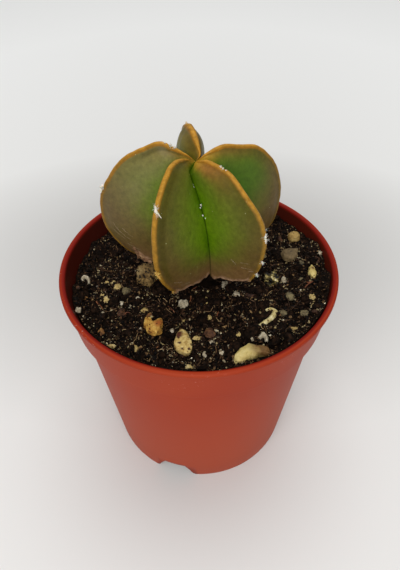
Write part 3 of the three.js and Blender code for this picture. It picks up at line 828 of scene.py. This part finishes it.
HUSK_GRAINS = (
    (-20.4, -2.7, 1.2, 1.6), (-19.2, -4.1, 1.7, 1.8), (-23.0, -6.0, 0.9, 1.8), (-21.7, -7.5, 1.4, 1.7),
    (25.0, -12.8, 1.2, 1.3), (25.4, -9.7, 1.4, 1.5), (20.2, -18.5, 1.7, 0.8), (-0.4, -20.2, 1.9, 1.0),
    (-13.6, -22.5, 1.5, 1.5), (-18.1, -22.7, 1.7, 0.8), (10.1, -19.9, 1.1, 1.3), (-8.1, -20.7, 0.9, 0.8),
    (-3.4, -14.4, 0.8, 0.8), (2.1, -14.7, 1.1, 1.4), (1.7, -10.2, 1.0, 1.9), (-12.4, -11.8, 1.5, 1.2),
    (-16.5, -10.8, 0.9, 0.8), (-15.3, -18.4, 0.6, 1.3), (-22.3, -1.6, 1.0, 0.9), (8.2, -19.4, 0.9, 1.4),
    (-2.2, -27.7, 1.4, 1.1)
)
BARK_GRAINS = (
    (24.5, -15.1, 1.5, 0.9), (2.2, -19.8, 2.3, 2.3), (-3.7, -23.6, 1.2, 1.2), (-17.5, -12.3, 1.7, 2.5),
    (-28.4, -4.6, 1.0, 1.0), (28.3, 2.2, 1.4, 2.2), (21.3, 11.3, 1.5, 1.8), (11.5, -8.3, 1.8, 1.4)
)
GOLDEN_BARK_GRAINS = ((-26.7, -7.5, 1.3, 1.2), (-21.2, -18.6, 1.4, 2.3), (-10.7, -13.4, 1.9, 1.1))
STONE_GRAINS = (
    (-17.0, -5.8, 2.0, 2.3), (20.5, -9.0, 1.9, 2.2), (18.8, -13.0, 1.8, 1.6), (22.9, -14.8, 1.9, 1.6),
    (-5.1, -16.3, 0.9, 0.8), (16.3, 5.2, 1.2, 1.0), (23.9, -3.5, 1.0, 0.9), (24.7, 1.4, 1.2, 1.8),
    (-11.5, 7.5, 1.6, 1.4), (4.0, 14.5, 1.9, 1.5), (-20.0, 13.0, 1.5, 1.3), (11.0, 19.5, 1.4, 1.7)
)


def grains(name, tree, places, seed):
    """One piece of loose grains that lie where a list says."""
    draw = random.Random(seed)
    shape = bmesh.new()
    for x, y, wide, deep in places:
        high = 0.55 * math.sqrt(wide * deep)
        place = on_peat(x, y, 0.3 * high)
        offset = Vector((draw.uniform(0, 90), 0, 0))
        for vert in bmesh.ops.create_icosphere(shape, subdivisions=3, radius=0.5)["verts"]:
            lump = 1 + 0.55 * noise.fractal(vert.co * 3.4 + offset, 0.8, 2.2, 4)
            vert.co = (place + Vector((vert.co.x * wide, vert.co.y * deep, vert.co.z * high)) * lump) * MM
    made = piece(name, shape, tree, sharp=60)
    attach(made, "root")


straw = weathered(
    "broken straw husk", [(0.3, "8d7440"), (0.5, "b59c62"), (0.72, "d0bd8a")], mottle=2.0, pit=0.7,
    pit_shade="5a4020", pit_share=0.25
)
brown_bark = weathered(
    "red-brown bark crumb", [(0.34, "24150b"), (0.5, "432817"), (0.68, "6f4a2a")], mottle=1.6, pit=0.7,
    pit_shade="231208", pit_share=0.25
)
old_bark = weathered(
    "weathered golden-brown bark crumb", [(0.34, "4a2a12"), (0.5, "80562a"), (0.66, "b08a4e")], mottle=1.2,
    pit=0.7, pit_shade="2c180a", pit_share=0.28
)
grey_gravel = weathered(
    "grey-green gravel", [(0.3, "3e3623"), (0.5, "60543a"), (0.72, "8c7f57")], mottle=1.4, pit=0.7,
    pit_shade="2c2a22", pit_share=0.28
)
dusty = weathered(
    "dusty perlite crumb", [(0.3, "776a54"), (0.5, "a79a80"), (0.72, "d6ccb6")], mottle=1.1, pit=0.6,
    pit_shade="4c4130", pit_share=0.25
)
grains("perlite_grains", dusty, WHITE_GRAINS, seed=81)
grains("husk_grains", straw, HUSK_GRAINS, seed=82)
grains("bark_grains", brown_bark, BARK_GRAINS, seed=83)
grains("golden_bark_grains", old_bark, GOLDEN_BARK_GRAINS, seed=85)
grains("gravel_grains", grey_gravel, STONE_GRAINS, seed=84)

# ---- The cactus
# One young plant of five wing-like ribs that meet in sharp grooves. The skin is a tough, waxy cuticle with
# hardly any spots. Each rib's edge is a cork-orange bead, and the lower margins are dried and ragged.
LEAN_LEFT = 2.74
LEAN_BACK = 2.55
APEX = Vector((0.3, 1.0, 29.6))
CREST_HALF_WIDTH = 0.62
CREST_DEPTH = 0.5
RIB_STEPS = 156
STEPS_PER_CAD_STEP = 6
FACE_COLUMNS = 22
BEAD_COLUMNS = 10
UNDERSIDE_STEPS = 10
ROOT = ((4.6, 2.3), (4.5, 0), (4.3, -3), (3.4, -9), (1.6, -16), (0, -18))
# Azimuth, swell of the flanks, how far along the crest the wool tufts are, and the crest as points out from
# the axis, to the side and up from the base
RIBS = (
    (-99.2, 0.9, (0.128, 0.545), (
        (1.7, -0.1, 31.8), (6.0, 0, 34.15), (9.8, 0, 33.1), (14.6, 0, 30.6), (18.2, 0, 26.5),
        (20.9, 0, 21.8), (21.6, 0, 16.0), (20.4, 0, 11.7), (17.6, 0, 7.7), (13.5, 0, 5.2))),
    (-27.2, 0.8, (0.442, 0.75, 0.974), (
        (0.1, -0.64, 30.3), (1.95, -0.97, 31.6), (5.6, -0.8, 33.0), (9.4, -0.25, 33.1), (13.3, -0.35, 29.9),
        (16.3, -0.2, 25.8), (17.6, -0.15, 20.6), (17.7, -0.1, 15.2), (15.6, 0, 10.0), (12.6, 0, 5.6))),
    (44.8, 1.0, (0.231, 0.647, 0.808, 0.917), (
        (0.65, 0.24, 30.4), (3.3, 0.1, 31.5), (5.6, 0, 31.6), (9.5, 0, 30.9), (13.6, 0, 27.6),
        (16.9, 0, 24.3), (18.4, 0, 20.3), (18.0, 0, 15.2), (16.8, 0, 11.0), (14.9, 0, 7.4))),
    (116.8, 0.9, (0.93,), (
        (1.5, 0.14, 30.4), (2.8, -0.2, 31.35), (6.4, 0, 31.95), (10.6, 0, 30.8), (14.8, 0, 29.4),
        (18.6, 0, 25.4), (20.8, 0, 19.9), (21.0, 0, 14.6), (19.4, 0, 9.0), (15.0, 0, 5.6))),
    (190, 1.35, (0.25, 0.56, 0.8), (
        (1.2, -1.4, 30.8), (2.7, -1.3, 32.4), (5.5, -0.95, 34.0), (8.0, -0.7, 34.1), (11.0, -0.4, 33.0),
        (18.6, 0, 25.5), (20.8, 0, 20.0), (20.6, 0, 14.5), (14.5, 0, 6.0))),
)
# The rear rib's edge is a little fuller near its top
BACK_RIB = 4
BACK_TIP_FULLNESS = 0.4
# The grooves between the ribs, as points out, to the side and up, and the one at the front, which is its own
GROOVE = ((1.9, 0, 27.4), (3.5, 0, 24.2), (5.0, 0, 18.3), (5.7, 0, 11.5), (5.3, 0, 5.2))
FRONT_GROOVE = (
    (0.7, -1.15, 28.2), (1.97, -0.92, 27.1), (3.44, -0.13, 24.2), (4.96, 0.83, 18.3), (5.5, 1.25, 11.5),
    (5.3, 1.3, 5.4))
FRONT_RIB = 1
# For each rib's left and right flank: how grey its wax is, which is also painted sheen where a flank faces
# the light, and how far down the brown of its foot starts
WAX_AND_SHEEN_GREY = ((0.6, 0.9), (0.5, 0.12), (0.08, 0.4), (0.15, 0.5), (0.8, 0.95))
BROWN_FROM = ((0.4, 0.4), (0.5, 0.58), (0.6, 0.5), (0.48, 0.45), (0.5, 0.5))
# For each rib: how rusty its top is, how dark the line beside its edge bead is and how far down that line
# runs, and the bead's half width as a share of the rib edge's own
RUST = (0.3, 0.12, 0.9, 0.35, 0.3)
BEAD_SHADOW = (0.8, 0.75, 0.25, 0.3, 0.5)
BEAD_SHADOW_TO = (0.22, 0.75, 0.6, 0.3, 0.6)
BEAD_REACH = (1.7, 1.05, 1.1, 1.6, 1.4)
# Fine scars, each from one point to another: rib, then its share down the rib and its column at either end
SCARS = (
    (0, 0.70, 37.2, 0.755, 38.9), (0, 0.728, 37.7, 0.79, 40.6), (0, 0.745, 36.6, 0.80, 39.2),
    (0, 0.715, 39.5, 0.76, 41.4), (0, 0.83, 38.5, 0.865, 41.5), (2, 0.79, 11.2, 0.83, 13.0),
    (2, 0.853, 14.6, 0.87, 18.2), (2, 0.885, 17.5, 0.9, 21.5), (2, 0.81, 14.0, 0.82, 16.8),
    (1, 0.87, 36.0, 0.9, 39.0), (1, 0.93, 37.5, 0.94, 41.0)
)
# The torn strip on the left rib's margin: its ends as shares down the rib, its column, how far it hangs
PEEL_FROM = 0.83
PEEL_TO = 0.985
PEEL_COLUMN = 40
PEEL_LENGTH = 1.7
PEEL_STEPS = 48
# How deep the edge dips under the wool, how far the front right rib's margin hangs into the front groove,
# how full the flanks are, how deep the crease by a groove is, and the height and length of the skin's waves
WOOL_DENT = 0.3
FRONT_FLAP = 1.5
FLANK_SWELL = 5.4
GROOVE_PINCH = 0.16
SKIN_WAVE = 0.16
SKIN_WAVE_LENGTH = 5.5
plant_place = (
    Matrix.Translation(PLANT_BASE * MM)
    @ Matrix.Rotation(math.radians(-LEAN_BACK), 4, "X")
    @ Matrix.Rotation(math.radians(-LEAN_LEFT), 4, "Y")
    @ Matrix.Scale(MM, 4)
)


def directions(azimuth):
    """The unit vectors out from the axis and sideways at an azimuth."""
    angle = math.radians(azimuth)
    return Vector((math.sin(angle), -math.cos(angle), 0)), Vector((math.cos(angle), math.sin(angle), 0))


def curve_from_apex(azimuth, points):
    """Evenly spaced points of the smooth curve from the apex through points given out, sideways and up."""
    out, side = directions(azimuth)
    return smooth_line([APEX] + [out * o + side * s + Vector((0, 0, up)) for o, s, up in points], RIB_STEPS)


crests = [curve_from_apex(azimuth, crest) for azimuth, swell, wool, crest in RIBS]
groove_azimuths = [(RIBS[i][0] + RIBS[(i + 1) % 5][0] + (360 if i == 4 else 0)) / 2 for i in range(5)]
grooves = [curve_from_apex(groove_azimuths[i], FRONT_GROOVE if i == FRONT_RIB else GROOVE) for i in range(5)]


def crest_normal(rib, step):
    """The way out of a rib's edge, square to its crest."""
    before = crests[rib][max(step - STEPS_PER_CAD_STEP, 0)]
    after = crests[rib][min(step + STEPS_PER_CAD_STEP, RIB_STEPS)]
    return -directions(RIBS[rib][0])[1].cross(after - before).normalized()


def rib_point(rib, step, column):
    """A point of the skin, its share of the way from the groove to the crest, and its side of the rib."""
    side = directions(RIBS[rib][0])[1]
    opening = min(1, step / (3 * STEPS_PER_CAD_STEP))
    turn = math.pi * min(max(column - FACE_COLUMNS, 0), BEAD_COLUMNS) / BEAD_COLUMNS
    along = step / RIB_STEPS
    fuller = BACK_TIP_FULLNESS * math.exp(-(((along - 0.27) / 0.1) ** 2)) * (rib == BACK_RIB)
    half = CREST_HALF_WIDTH * (1 + fuller)
    point = crests[rib][step] - side * (math.cos(turn) * half * opening)
    point += crest_normal(rib, step) * ((math.sin(turn) - 1) * CREST_DEPTH * opening)
    if 0 < turn < math.pi:
        return point, 1, 0
    left = turn == 0
    groove = grooves[(rib + 4) % 5 if left else rib][step]
    share = 1 - column / FACE_COLUMNS if left else (column - FACE_COLUMNS - BEAD_COLUMNS) / FACE_COLUMNS
    share = smooth(0, 1, share)
    out = -1 if left else 1
    swell = RIBS[rib][1] * FLANK_SWELL * share * (1 - share) ** 1.5 * min(1, step / (5 * STEPS_PER_CAD_STEP))
    pinch = GROOVE_PINCH * math.exp(-(((share - 0.05) / 0.035) ** 2)) * opening
    point = point.lerp(groove, share) + side * (out * (swell - pinch))
    wave = noise.noise(point / SKIN_WAVE_LENGTH) * SKIN_WAVE * smooth(0.05, 0.3, along)
    wave *= 1 - abs(2 * share - 1)
    return point + side * (out * wave), 1 - share, out


RIB_COLUMNS = 2 * FACE_COLUMNS + BEAD_COLUMNS
AROUND = 5 * RIB_COLUMNS
STACKS = RIB_STEPS + UNDERSIDE_STEPS + len(ROOT) - 1
skin = bmesh.new()
skin_map = skin.loops.layers.uv.new("skin")
# What the skin's colours follow, as a share at every vertex
MARKS = "outward wax deep golden rim ridge brown dried rust shadow bead hem neck crease".split()
outward, wax, deep, golden, rim, ridge, brown, dried, rust, shadow, bead, hem, neck, crease = (
    skin.verts.layers.float.new(mark) for mark in MARKS
)
bmesh.ops.create_grid(skin, x_segments=AROUND, y_segments=STACKS, size=0.5)
for face in skin.faces:
    for loop in face.loops:
        loop[skin_map].uv = loop.vert.co.xy + Vector((0.5, 0.5))
for vert in skin.verts:
    around = round((vert.co.x + 0.5) * AROUND) % AROUND
    step = round((0.5 - vert.co.y) * STACKS)
    rib, column = divmod(around, RIB_COLUMNS)
    under = step - RIB_STEPS
    down = min(step, RIB_STEPS)
    point, out_share, flank = rib_point(rib, down, column)
    along = down / RIB_STEPS
    side_index = 0 if flank < 0 else 1
    edge = smooth(0.9, 1, out_share)
    dent = sum(math.exp(-(((along - share) / 0.012) ** 2)) for share in RIBS[rib][2])
    uneven = 0.1 * noise.noise(crests[rib][down] / 1.6)
    point += crest_normal(rib, down) * edge * smooth(0.0, 0.1, along) * (uneven - WOOL_DENT * dent)
    ragged = noise.fractal(Vector((around / 5, rib * 9, 2)), 0.8, 2.2, 4) * 0.55
    ragged += noise.noise(Vector((around / 1.7, rib * 7, 5))) * 0.25
    point.z += ragged * smooth(0.9, 1, along) * smooth(0, 0.2, out_share)
    if rib == FRONT_RIB + 1 and flank < 0:
        point.z -= FRONT_FLAP * math.exp(-(((out_share - 0.13) / 0.12) ** 2)) * smooth(0.86, 1, along)
    vert[outward] = out_share
    # Wax grey: the bloom's own colour, and painted sheen on the flanks that face the light
    vert[wax] = WAX_AND_SHEEN_GREY[rib][side_index] * smooth(0.2, 0.7, out_share) * smooth(0.05, 0.2, along)
    foot = BROWN_FROM[rib][side_index]
    vert[brown] = smooth(foot - 0.06, foot + 0.38, along + 0.3 * (out_share - 0.5))
    vert[dried] = smooth(0.74, 0.99, along - 0.06 * (out_share - 0.5)) * (1 - 0.4 * out_share)
    young = (1 - smooth(0.02, 0.17, along)) * smooth(0.2, 0.7, out_share)
    vert[golden] = young * (0.9 if rib in (2, 3) else 0.3)
    vert[rust] = RUST[rib] * math.exp(-(((along - 0.1) / 0.17) ** 2)) * smooth(0.45, 0.97, out_share)
    beside = math.exp(-(((out_share - 0.93) / 0.05) ** 2)) * smooth(0.03, 0.1, along)
    vert[shadow] = BEAD_SHADOW[rib] * beside * (1 - smooth(0, 0.2, along - BEAD_SHADOW_TO[rib]))
    if rib == BACK_RIB:
        vert[shadow] += 0.9 * (1 - smooth(0.0, 0.26, along)) * (1 - smooth(0.85, 1, out_share))
        vert[brown] = max(vert[brown], 0.25)
    # Painted shade: the fourth rib's left flank, in the shade of the third, is painted a deeper green
    if rib == 3 and flank < 0:
        inner = (1 - smooth(0.7, 0.97, out_share)) * smooth(0.06, 0.2, along)
        vert[deep] = inner * (1 - smooth(0.45, 0.75, along))
    bead_away = abs(column - FACE_COLUMNS - BEAD_COLUMNS / 2) / (BEAD_COLUMNS / 2)
    if bead_away > 1:
        bead_away = 1 + (1 - out_share) / 0.03
    bead_here = 1 - smooth(BEAD_REACH[rib] - 0.6, BEAD_REACH[rib] + 0.15, bead_away)
    bead_here *= 1 - 0.12 * min(bead_away, 1)
    bead_here *= smooth(0.0, 0.03, along) * (1 - 0.6 * min(dent, 1))
    vert[rim] = bead_here * smooth(0.3, 0.6, along)
    vert[bead] = bead_here * (1 - smooth(0.3, 0.65, along) * (0.45 if rib in (0, 1) else 0.75))
    # Painted highlight: the middle of the edge bead is painted lighter, less so further down the rib
    highlight_band = (1 - smooth(0.15, 0.75, bead_away)) * smooth(0.0, 0.03, along)
    vert[ridge] = highlight_band * (1 - 0.6 * smooth(0.35, 0.65, along))
    vert[wax] *= 1 - 0.8 * bead_here
    vert[hem] = smooth(0.965, 0.995, along + 0.014 * noise.noise(Vector((around / 3, rib, 8))))
    vert[hem] *= smooth(0.02, 0.1, out_share)
    if rib == 0 and flank > 0:
        peel = ((along - 0.92) / 0.06) ** 2 + ((out_share - 0.72) / 0.09) ** 2
        peel += 1.2 * noise.noise(Vector((around / 1.5, step / 4, 4)))
        vert[hem] = max(vert[hem], 1 - smooth(0.6, 1.2, peel))
    # Painted shade: a thin dark line along the bottom of each groove
    vert[crease] = 0.75 * (1 - smooth(0.0, 0.02, out_share))
    if under > 0:
        start = groove_azimuths[(rib + 4) % 5] - (360 if rib == 0 else 0)
        azimuth = start + (groove_azimuths[rib] - start) * column / RIB_COLUMNS
        radius, up = ROOT[max(under - UNDERSIDE_STEPS, 0)]
        root = directions(azimuth)[0] * radius + Vector((0, 0, up))
        point = point.lerp(root, min(under / UNDERSIDE_STEPS, 1))
        # Painted shade: the neck under the ribs is painted near black, over its own dried brown
        vert[neck] = 1
        vert[bead] = vert[rim] = vert[ridge] = 0
    vert.co = plant_place @ point
bmesh.ops.remove_doubles(skin, verts=skin.verts, dist=0.0005 * MM)
bmesh.ops.recalc_face_normals(skin, faces=skin.faces)

# Waxy cuticle over green flesh: fresh green towards the grooves, lifted there as painted light against the
# shade in the grooves, olive outside, greyer where the wax is thick and, as painted sheen, where a flank
# faces the light, and brown where the sun has reddened it. The foot is dried. The neck, the groove bottoms,
# the fourth rib's left flank and the lines beside the edge beads are darkened as painted shade, and the
# middle of each edge bead is a painted highlight.
cuticle, cuticle_at = blank("waxy cactus cuticle")
mottle = add(cuticle, "TexNoise", {"Vector": cuticle_at, "Scale": per(6), "Detail": 5, "Roughness": 0.6})
speckle = add(cuticle, "TexNoise", {"Vector": cuticle_at, "Scale": per(1.1), "Detail": 4, "Roughness": 0.7})
cuticle_outward = add(cuticle, "Attribute", {}, attribute_name="outward").outputs["Fac"]
drift = add(cuticle, "MapRange", {"Value": mottle, "To Min": -0.2, "To Max": 0.2})
groove_to_crest = add(cuticle, "Math", {0: cuticle_outward, 1: drift}, operation="ADD")
# The greens nearest the grooves are lifted: painted light against the grooves' shade, over the flesh's own
# fresh green
skin_shade = add(
    cuticle, "ValToRGB", {"Fac": groove_to_crest},
    [(0.0, "4e7206"), (0.1, "648410"), (0.35, "657c1c"), (0.6, "626d1d"), (0.82, "555619"), (1.0, "5a5219")]
)
# Each mark's colour, the pattern that breaks it up, and how much
for mark, shade, grain, share in (
    # The deep green, the shadow, the groove-bottom line and the neck are painted shade; the bead's middle is
    # a painted highlight
    ("deep", "40660f", mottle, 0.2),
    ("wax", "7e7d45", mottle, 0.5),
    ("brown", "624c27", mottle, 0.25),
    ("dried", "805c3c", mottle, 0.3),
    ("rust", "a86c34", mottle, 0.3),
    ("golden", "bd942a", mottle, 0.2),
    ("shadow", "3f3906", mottle, 0.2),
    ("crease", "162a03", mottle, 0),
    ("rim", "7a6226", speckle, 0.2),
    ("bead", "9b691b", speckle, 0.3),
    ("ridge", "bd8a31", speckle, 0.45),
    ("hem", "bf987a", speckle, 0.9),
    ("neck", "150e09", mottle, 0),
):
    reach = add(cuticle, "Attribute", {}, attribute_name=mark).outputs["Fac"]
    broken = add(cuticle, "MapRange", {"Value": grain, "From Min": 0.3, "From Max": 0.7, "To Min": 1 - share})
    fade = add(cuticle, "Math", {0: reach, 1: broken}, operation="MULTIPLY")
    skin_shade = add(cuticle, "Mix", {0: fade, 6: skin_shade, 7: shade}, data_type="RGBA")
fine_grain = {"Value": speckle, "From Min": 0.3, "From Max": 0.7, "To Min": 0.76, "To Max": 1.18}
brightness = add(cuticle, "MapRange", fine_grain)
skin_shade = add(cuticle, "VectorMath", {0: skin_shade, "Scale": brightness}, operation="SCALE")
fleck_cells = add(cuticle, "TexVoronoi", {"Vector": cuticle_at, "Scale": per(1.5)})
fleck_draw = add(cuticle, "SeparateColor", {"Color": fleck_cells.outputs["Color"]}).outputs["Red"]
fleck_away = fleck_cells.outputs["Distance"]
fleck_round = add(cuticle, "MapRange", {"Value": fleck_away, "From Min": 0.085, "From Max": 0.04})
fleck_some = add(cuticle, "MapRange", {"Value": fleck_draw, "From Min": 0.6, "From Max": 0.9})
fleck = add(cuticle, "Math", {0: fleck_round, 1: fleck_some}, operation="MULTIPLY")
skin_shade = add(cuticle, "Mix", {0: fleck, 6: skin_shade, 7: "a9a878"}, data_type="RGBA")
cuticle_wax_and_sheen = add(cuticle, "Attribute", {}, attribute_name="wax").outputs["Fac"]
sheen = add(cuticle, "MapRange", {"Value": cuticle_wax_and_sheen, "To Min": 0.1, "To Max": 0.35})
cuticle_bump = add(cuticle, "Bump", {"Height": speckle, "Strength": 0.45, "Distance": 0.12 * MM})
cuticle_look = {
    "Base Color": skin_shade, "Roughness": 0.45, "IOR": 1.45, "Specular IOR Level": sheen,
    "Subsurface Weight": 0.12, "Subsurface Radius": (1.0, 0.9, 0.25), "Subsurface Scale": 1.2 * MM,
    "Normal": cuticle_bump
}
add(cuticle, "OutputMaterial", {"Surface": add(cuticle, "BsdfPrincipled", cuticle_look)})
cactus = piece("cactus_skin", skin, cuticle, sharp=70)
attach(cactus, "root")
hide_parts("cactus_body")

# A strip of dried skin hangs torn from the left rib's margin.
husked, husked_at = blank("dried, peeling cuticle")
husked_clouds = add(
    husked, "TexNoise", {"Vector": husked_at, "Scale": per(0.7), "Detail": 5, "Roughness": 0.7}
)
husked_shade = add(
    husked, "ValToRGB", {"Fac": husked_clouds}, [(0.35, "553820"), (0.5, "866040"), (0.66, "ae8b64")]
)
husked_look = {"Base Color": husked_shade, "Roughness": 0.8}
add(husked, "OutputMaterial", {"Surface": add(husked, "BsdfPrincipled", husked_look)})
flap = bmesh.new()
bmesh.ops.create_grid(flap, x_segments=PEEL_STEPS, y_segments=8, size=0.5)
for vert in flap.verts:
    way, hang = vert.co.x + 0.5, vert.co.y + 0.5
    step = (PEEL_FROM + (PEEL_TO - PEEL_FROM) * way) * RIB_STEPS
    above, below = (rib_point(0, int(step) + k, PEEL_COLUMN)[0] for k in (0, 1))
    torn = 0.75 + 0.6 * noise.fractal(Vector((way * 7, hang, 6)), 0.8, 2.2, 4)
    drop = hang * PEEL_LENGTH * torn * math.sin(math.pi * (0.12 + 0.8 * way))
    out, side = directions(RIBS[0][0])
    curl = 0.35 * math.sin(3 * hang) + 0.2 * noise.noise(Vector((way * 6, hang * 2, 9)))
    margin = above.lerp(below, step % 1)
    vert.co = plant_place @ (margin + side * curl - Vector((0, 0, drop)) + out * 0.35 * drop)
bmesh.ops.solidify(flap, geom=flap.faces[:], thickness=0.15 * MM)
bmesh.ops.recalc_face_normals(flap, faces=flap.faces)
peel_strip = piece("dried_margin", flap, husked, sharp=50)
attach(peel_strip, "root")

# Scars of old scratches: dry, pale cork, a hair wide.
cork, cork_at = blank("pale scar cork")
cork_clouds = add(cork, "TexNoise", {"Vector": cork_at, "Scale": per(0.8), "Detail": 3})
cork_shade = add(cork, "ValToRGB", {"Fac": cork_clouds}, [(0.35, "7a6546"), (0.65, "a8947a")])
cork_look = {"Base Color": cork_shade, "Roughness": 0.85}
add(cork, "OutputMaterial", {"Surface": add(cork, "BsdfPrincipled", cork_look)})
SCAR_POINTS = 8
SCAR_THICK = 0.09
scar_lines = []
for rib, start, start_column, end, end_column in SCARS:
    line = []
    for i in range(SCAR_POINTS + 1):
        step = (start + (end - start) * i / SCAR_POINTS) * RIB_STEPS
        column = start_column + (end_column - start_column) * i / SCAR_POINTS + 0.25 * math.sin(2.1 * i + rib)
        above, below = (rib_point(rib, int(step) + k, column)[0] for k in (0, 1))
        line.append(plant_place @ above.lerp(below, step % 1) / MM)
    scar_lines.append(line)
threads("skin_scars", cork, scar_lines, SCAR_THICK, tip=0.4)

# ---- The wool
# Each areole on a rib's edge holds a tuft of white felt, which weathers golden. Where old tufts broke off,
# a few white scales are left, also down in the front groove.
WOOL_STRANDS = 22
WOOL_POINTS = 5
WOOL_THICK = 0.07
# Rib, place along its crest as a share, width, the tuft's point as out, side and up, and whether it is
# golden. The scales in the front groove are a share down the groove and a width.
TUFTS = (
    (0, 0.108, 0.45, (0.25, 0.5, 0.2), False), (0, 0.13, 0.55, (0.3, 0.5, 0.2), False),
    (0, 0.152, 0.45, (0.3, 0.5, 0.0), False), (0, 0.54, 1.1, (0.3, 1.1, 0.3), False),
    (0, 0.556, 0.6, (0.3, 0.9, -0.5), False), (1, 0.445, 0.55, (0.1, 1.0, -1.2), False),
    (1, 0.438, 0.5, (0.3, 0.2, 0.7), False), (1, 0.75, 0.95, (0.6, 0.3, 0.2), True),
    (1, 0.765, 0.6, (0.3, 0.6, -0.5), True), (1, 0.974, 0.4, (0.4, 0.2, 0.0), True),
    (2, 0.218, 0.26, (0.25, -0.2, 0.1), False), (2, 0.231, 0.34, (0.4, -0.1, -0.3), False),
    (2, 0.247, 0.24, (0.25, 0.1, -0.2), False), (2, 0.64, 0.42, (0.1, -0.1, 0.9), False),
    (2, 0.655, 0.38, (0.2, -0.2, -0.8), False), (2, 0.808, 0.3, (0.6, -0.4, 0.05), False),
    (2, 0.917, 0.36, (0.7, -0.4, 0.0), False), (3, 0.93, 0.5, (0.6, 0.0, -0.3), False),
    (4, 0.235, 0.26, (0.2, 0.2, 0.1), False), (4, 0.26, 0.3, (0.3, 0.0, 0.1), True),
    (4, 0.56, 0.7, (0.8, 0.1, -0.2), False), (4, 0.8, 0.7, (0.7, 0.2, -0.4), False)
)
GROOVE_SCALES = (
    (0.1, 0.6), (0.18, 0.5), (0.2, 0.55), (0.215, 0.35), (0.337, 0.5), (0.36, 0.35), (0.425, 0.4), (0.45, 0.3)
)


def felt(shape, place, size, spike, draw):
    """Adds a lumpy tuft of felt, drawn out to a point one way, to a mesh, in the plant's millimetres."""
    offset = Vector((draw.uniform(0, 90), 0, 0))
    way = spike.normalized()
    for vert in bmesh.ops.create_icosphere(shape, subdivisions=3, radius=1)["verts"]:
        lump = 1 + 0.5 * noise.fractal(vert.co * 2.6 + offset, 0.8, 2.2, 4)
        rise = vert.co.dot(way)
        across = (vert.co - way * rise) * (0.5 * size * (1 - 0.75 * max(rise, 0)))
        reach = spike.length if rise > 0 else 0.35 * size
        vert.co = plant_place @ (place + (across + way * (rise * reach)) * lump)


wool_draw = random.Random(91)
wool_felt = {False: bmesh.new(), True: bmesh.new()}
wool_lines = {False: [], True: []}
for rib, share, size, (point_out, point_side, point_up), golden in TUFTS:
    step = round(share * RIB_STEPS)
    side = directions(RIBS[rib][0])[1]
    spike = crest_normal(rib, step) * point_out + side * point_side + Vector((0, 0, point_up))
    place = crests[rib][step] - crest_normal(rib, step) * 0.1
    felt(wool_felt[golden], place, size, spike, wool_draw)
    for _ in range(WOOL_STRANDS):
        stray = Vector([wool_draw.gauss(0, 0.5) for _ in range(3)])
        way = (spike.normalized() + stray).normalized() * wool_draw.uniform(0.5, 1.15) * (spike.length + 0.2)
        at = place + side * wool_draw.gauss(0, 0.2) * size + Vector((0, 0, wool_draw.gauss(0, 0.2) * size))
        line = []
        for _ in range(WOOL_POINTS):
            line.append(plant_place @ at / MM)
            at = at + way / WOOL_POINTS
            way = way + Vector([wool_draw.gauss(0, 0.15) * size for _ in range(3)])
        wool_lines[golden].append(line)
front_side = directions(groove_azimuths[FRONT_RIB])[1]
front_out = directions(groove_azimuths[FRONT_RIB])[0]
for share, size in GROOVE_SCALES:
    place = grooves[FRONT_RIB][round(share * RIB_STEPS)] + front_out * 0.6
    spike = Vector((0.2 * size, 0, -0.9 * size))
    felt(wool_felt[False], place + front_side * wool_draw.gauss(0, 0.2), 0.7 * size, spike, wool_draw)

# Felt scatters light inside, so it is soft and bright. With age and dirt it turns from white to straw gold.
for golden, name, stops in (
    (False, "white", [(0.3, "cfc6b4"), (0.6, "f0ebe0")]),
    (True, "golden", [(0.3, "a8782c"), (0.6, "dcb765")]),
):
    wool, wool_at = blank(name + " areole wool")
    wool_clouds = add(wool, "TexNoise", {"Vector": wool_at, "Scale": per(0.5), "Detail": 3})
    wool_look = {
        "Base Color": add(wool, "ValToRGB", {"Fac": wool_clouds}, stops), "Roughness": 0.9,
        "Specular IOR Level": 0.1, "Subsurface Weight": 0.2, "Subsurface Scale": 0.3 * MM,
        "Normal": add(wool, "Bump", {"Height": wool_clouds, "Strength": 0.5, "Distance": 0.1 * MM})
    }
    add(wool, "OutputMaterial", {"Surface": add(wool, "BsdfPrincipled", wool_look)})
    tufts = piece(name + "_wool_felt", wool_felt[golden], wool, sharp=60)
    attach(tufts, "root")
    threads(name + "_wool_strands", wool, wool_lines[golden], WOOL_THICK, tip=0.3)
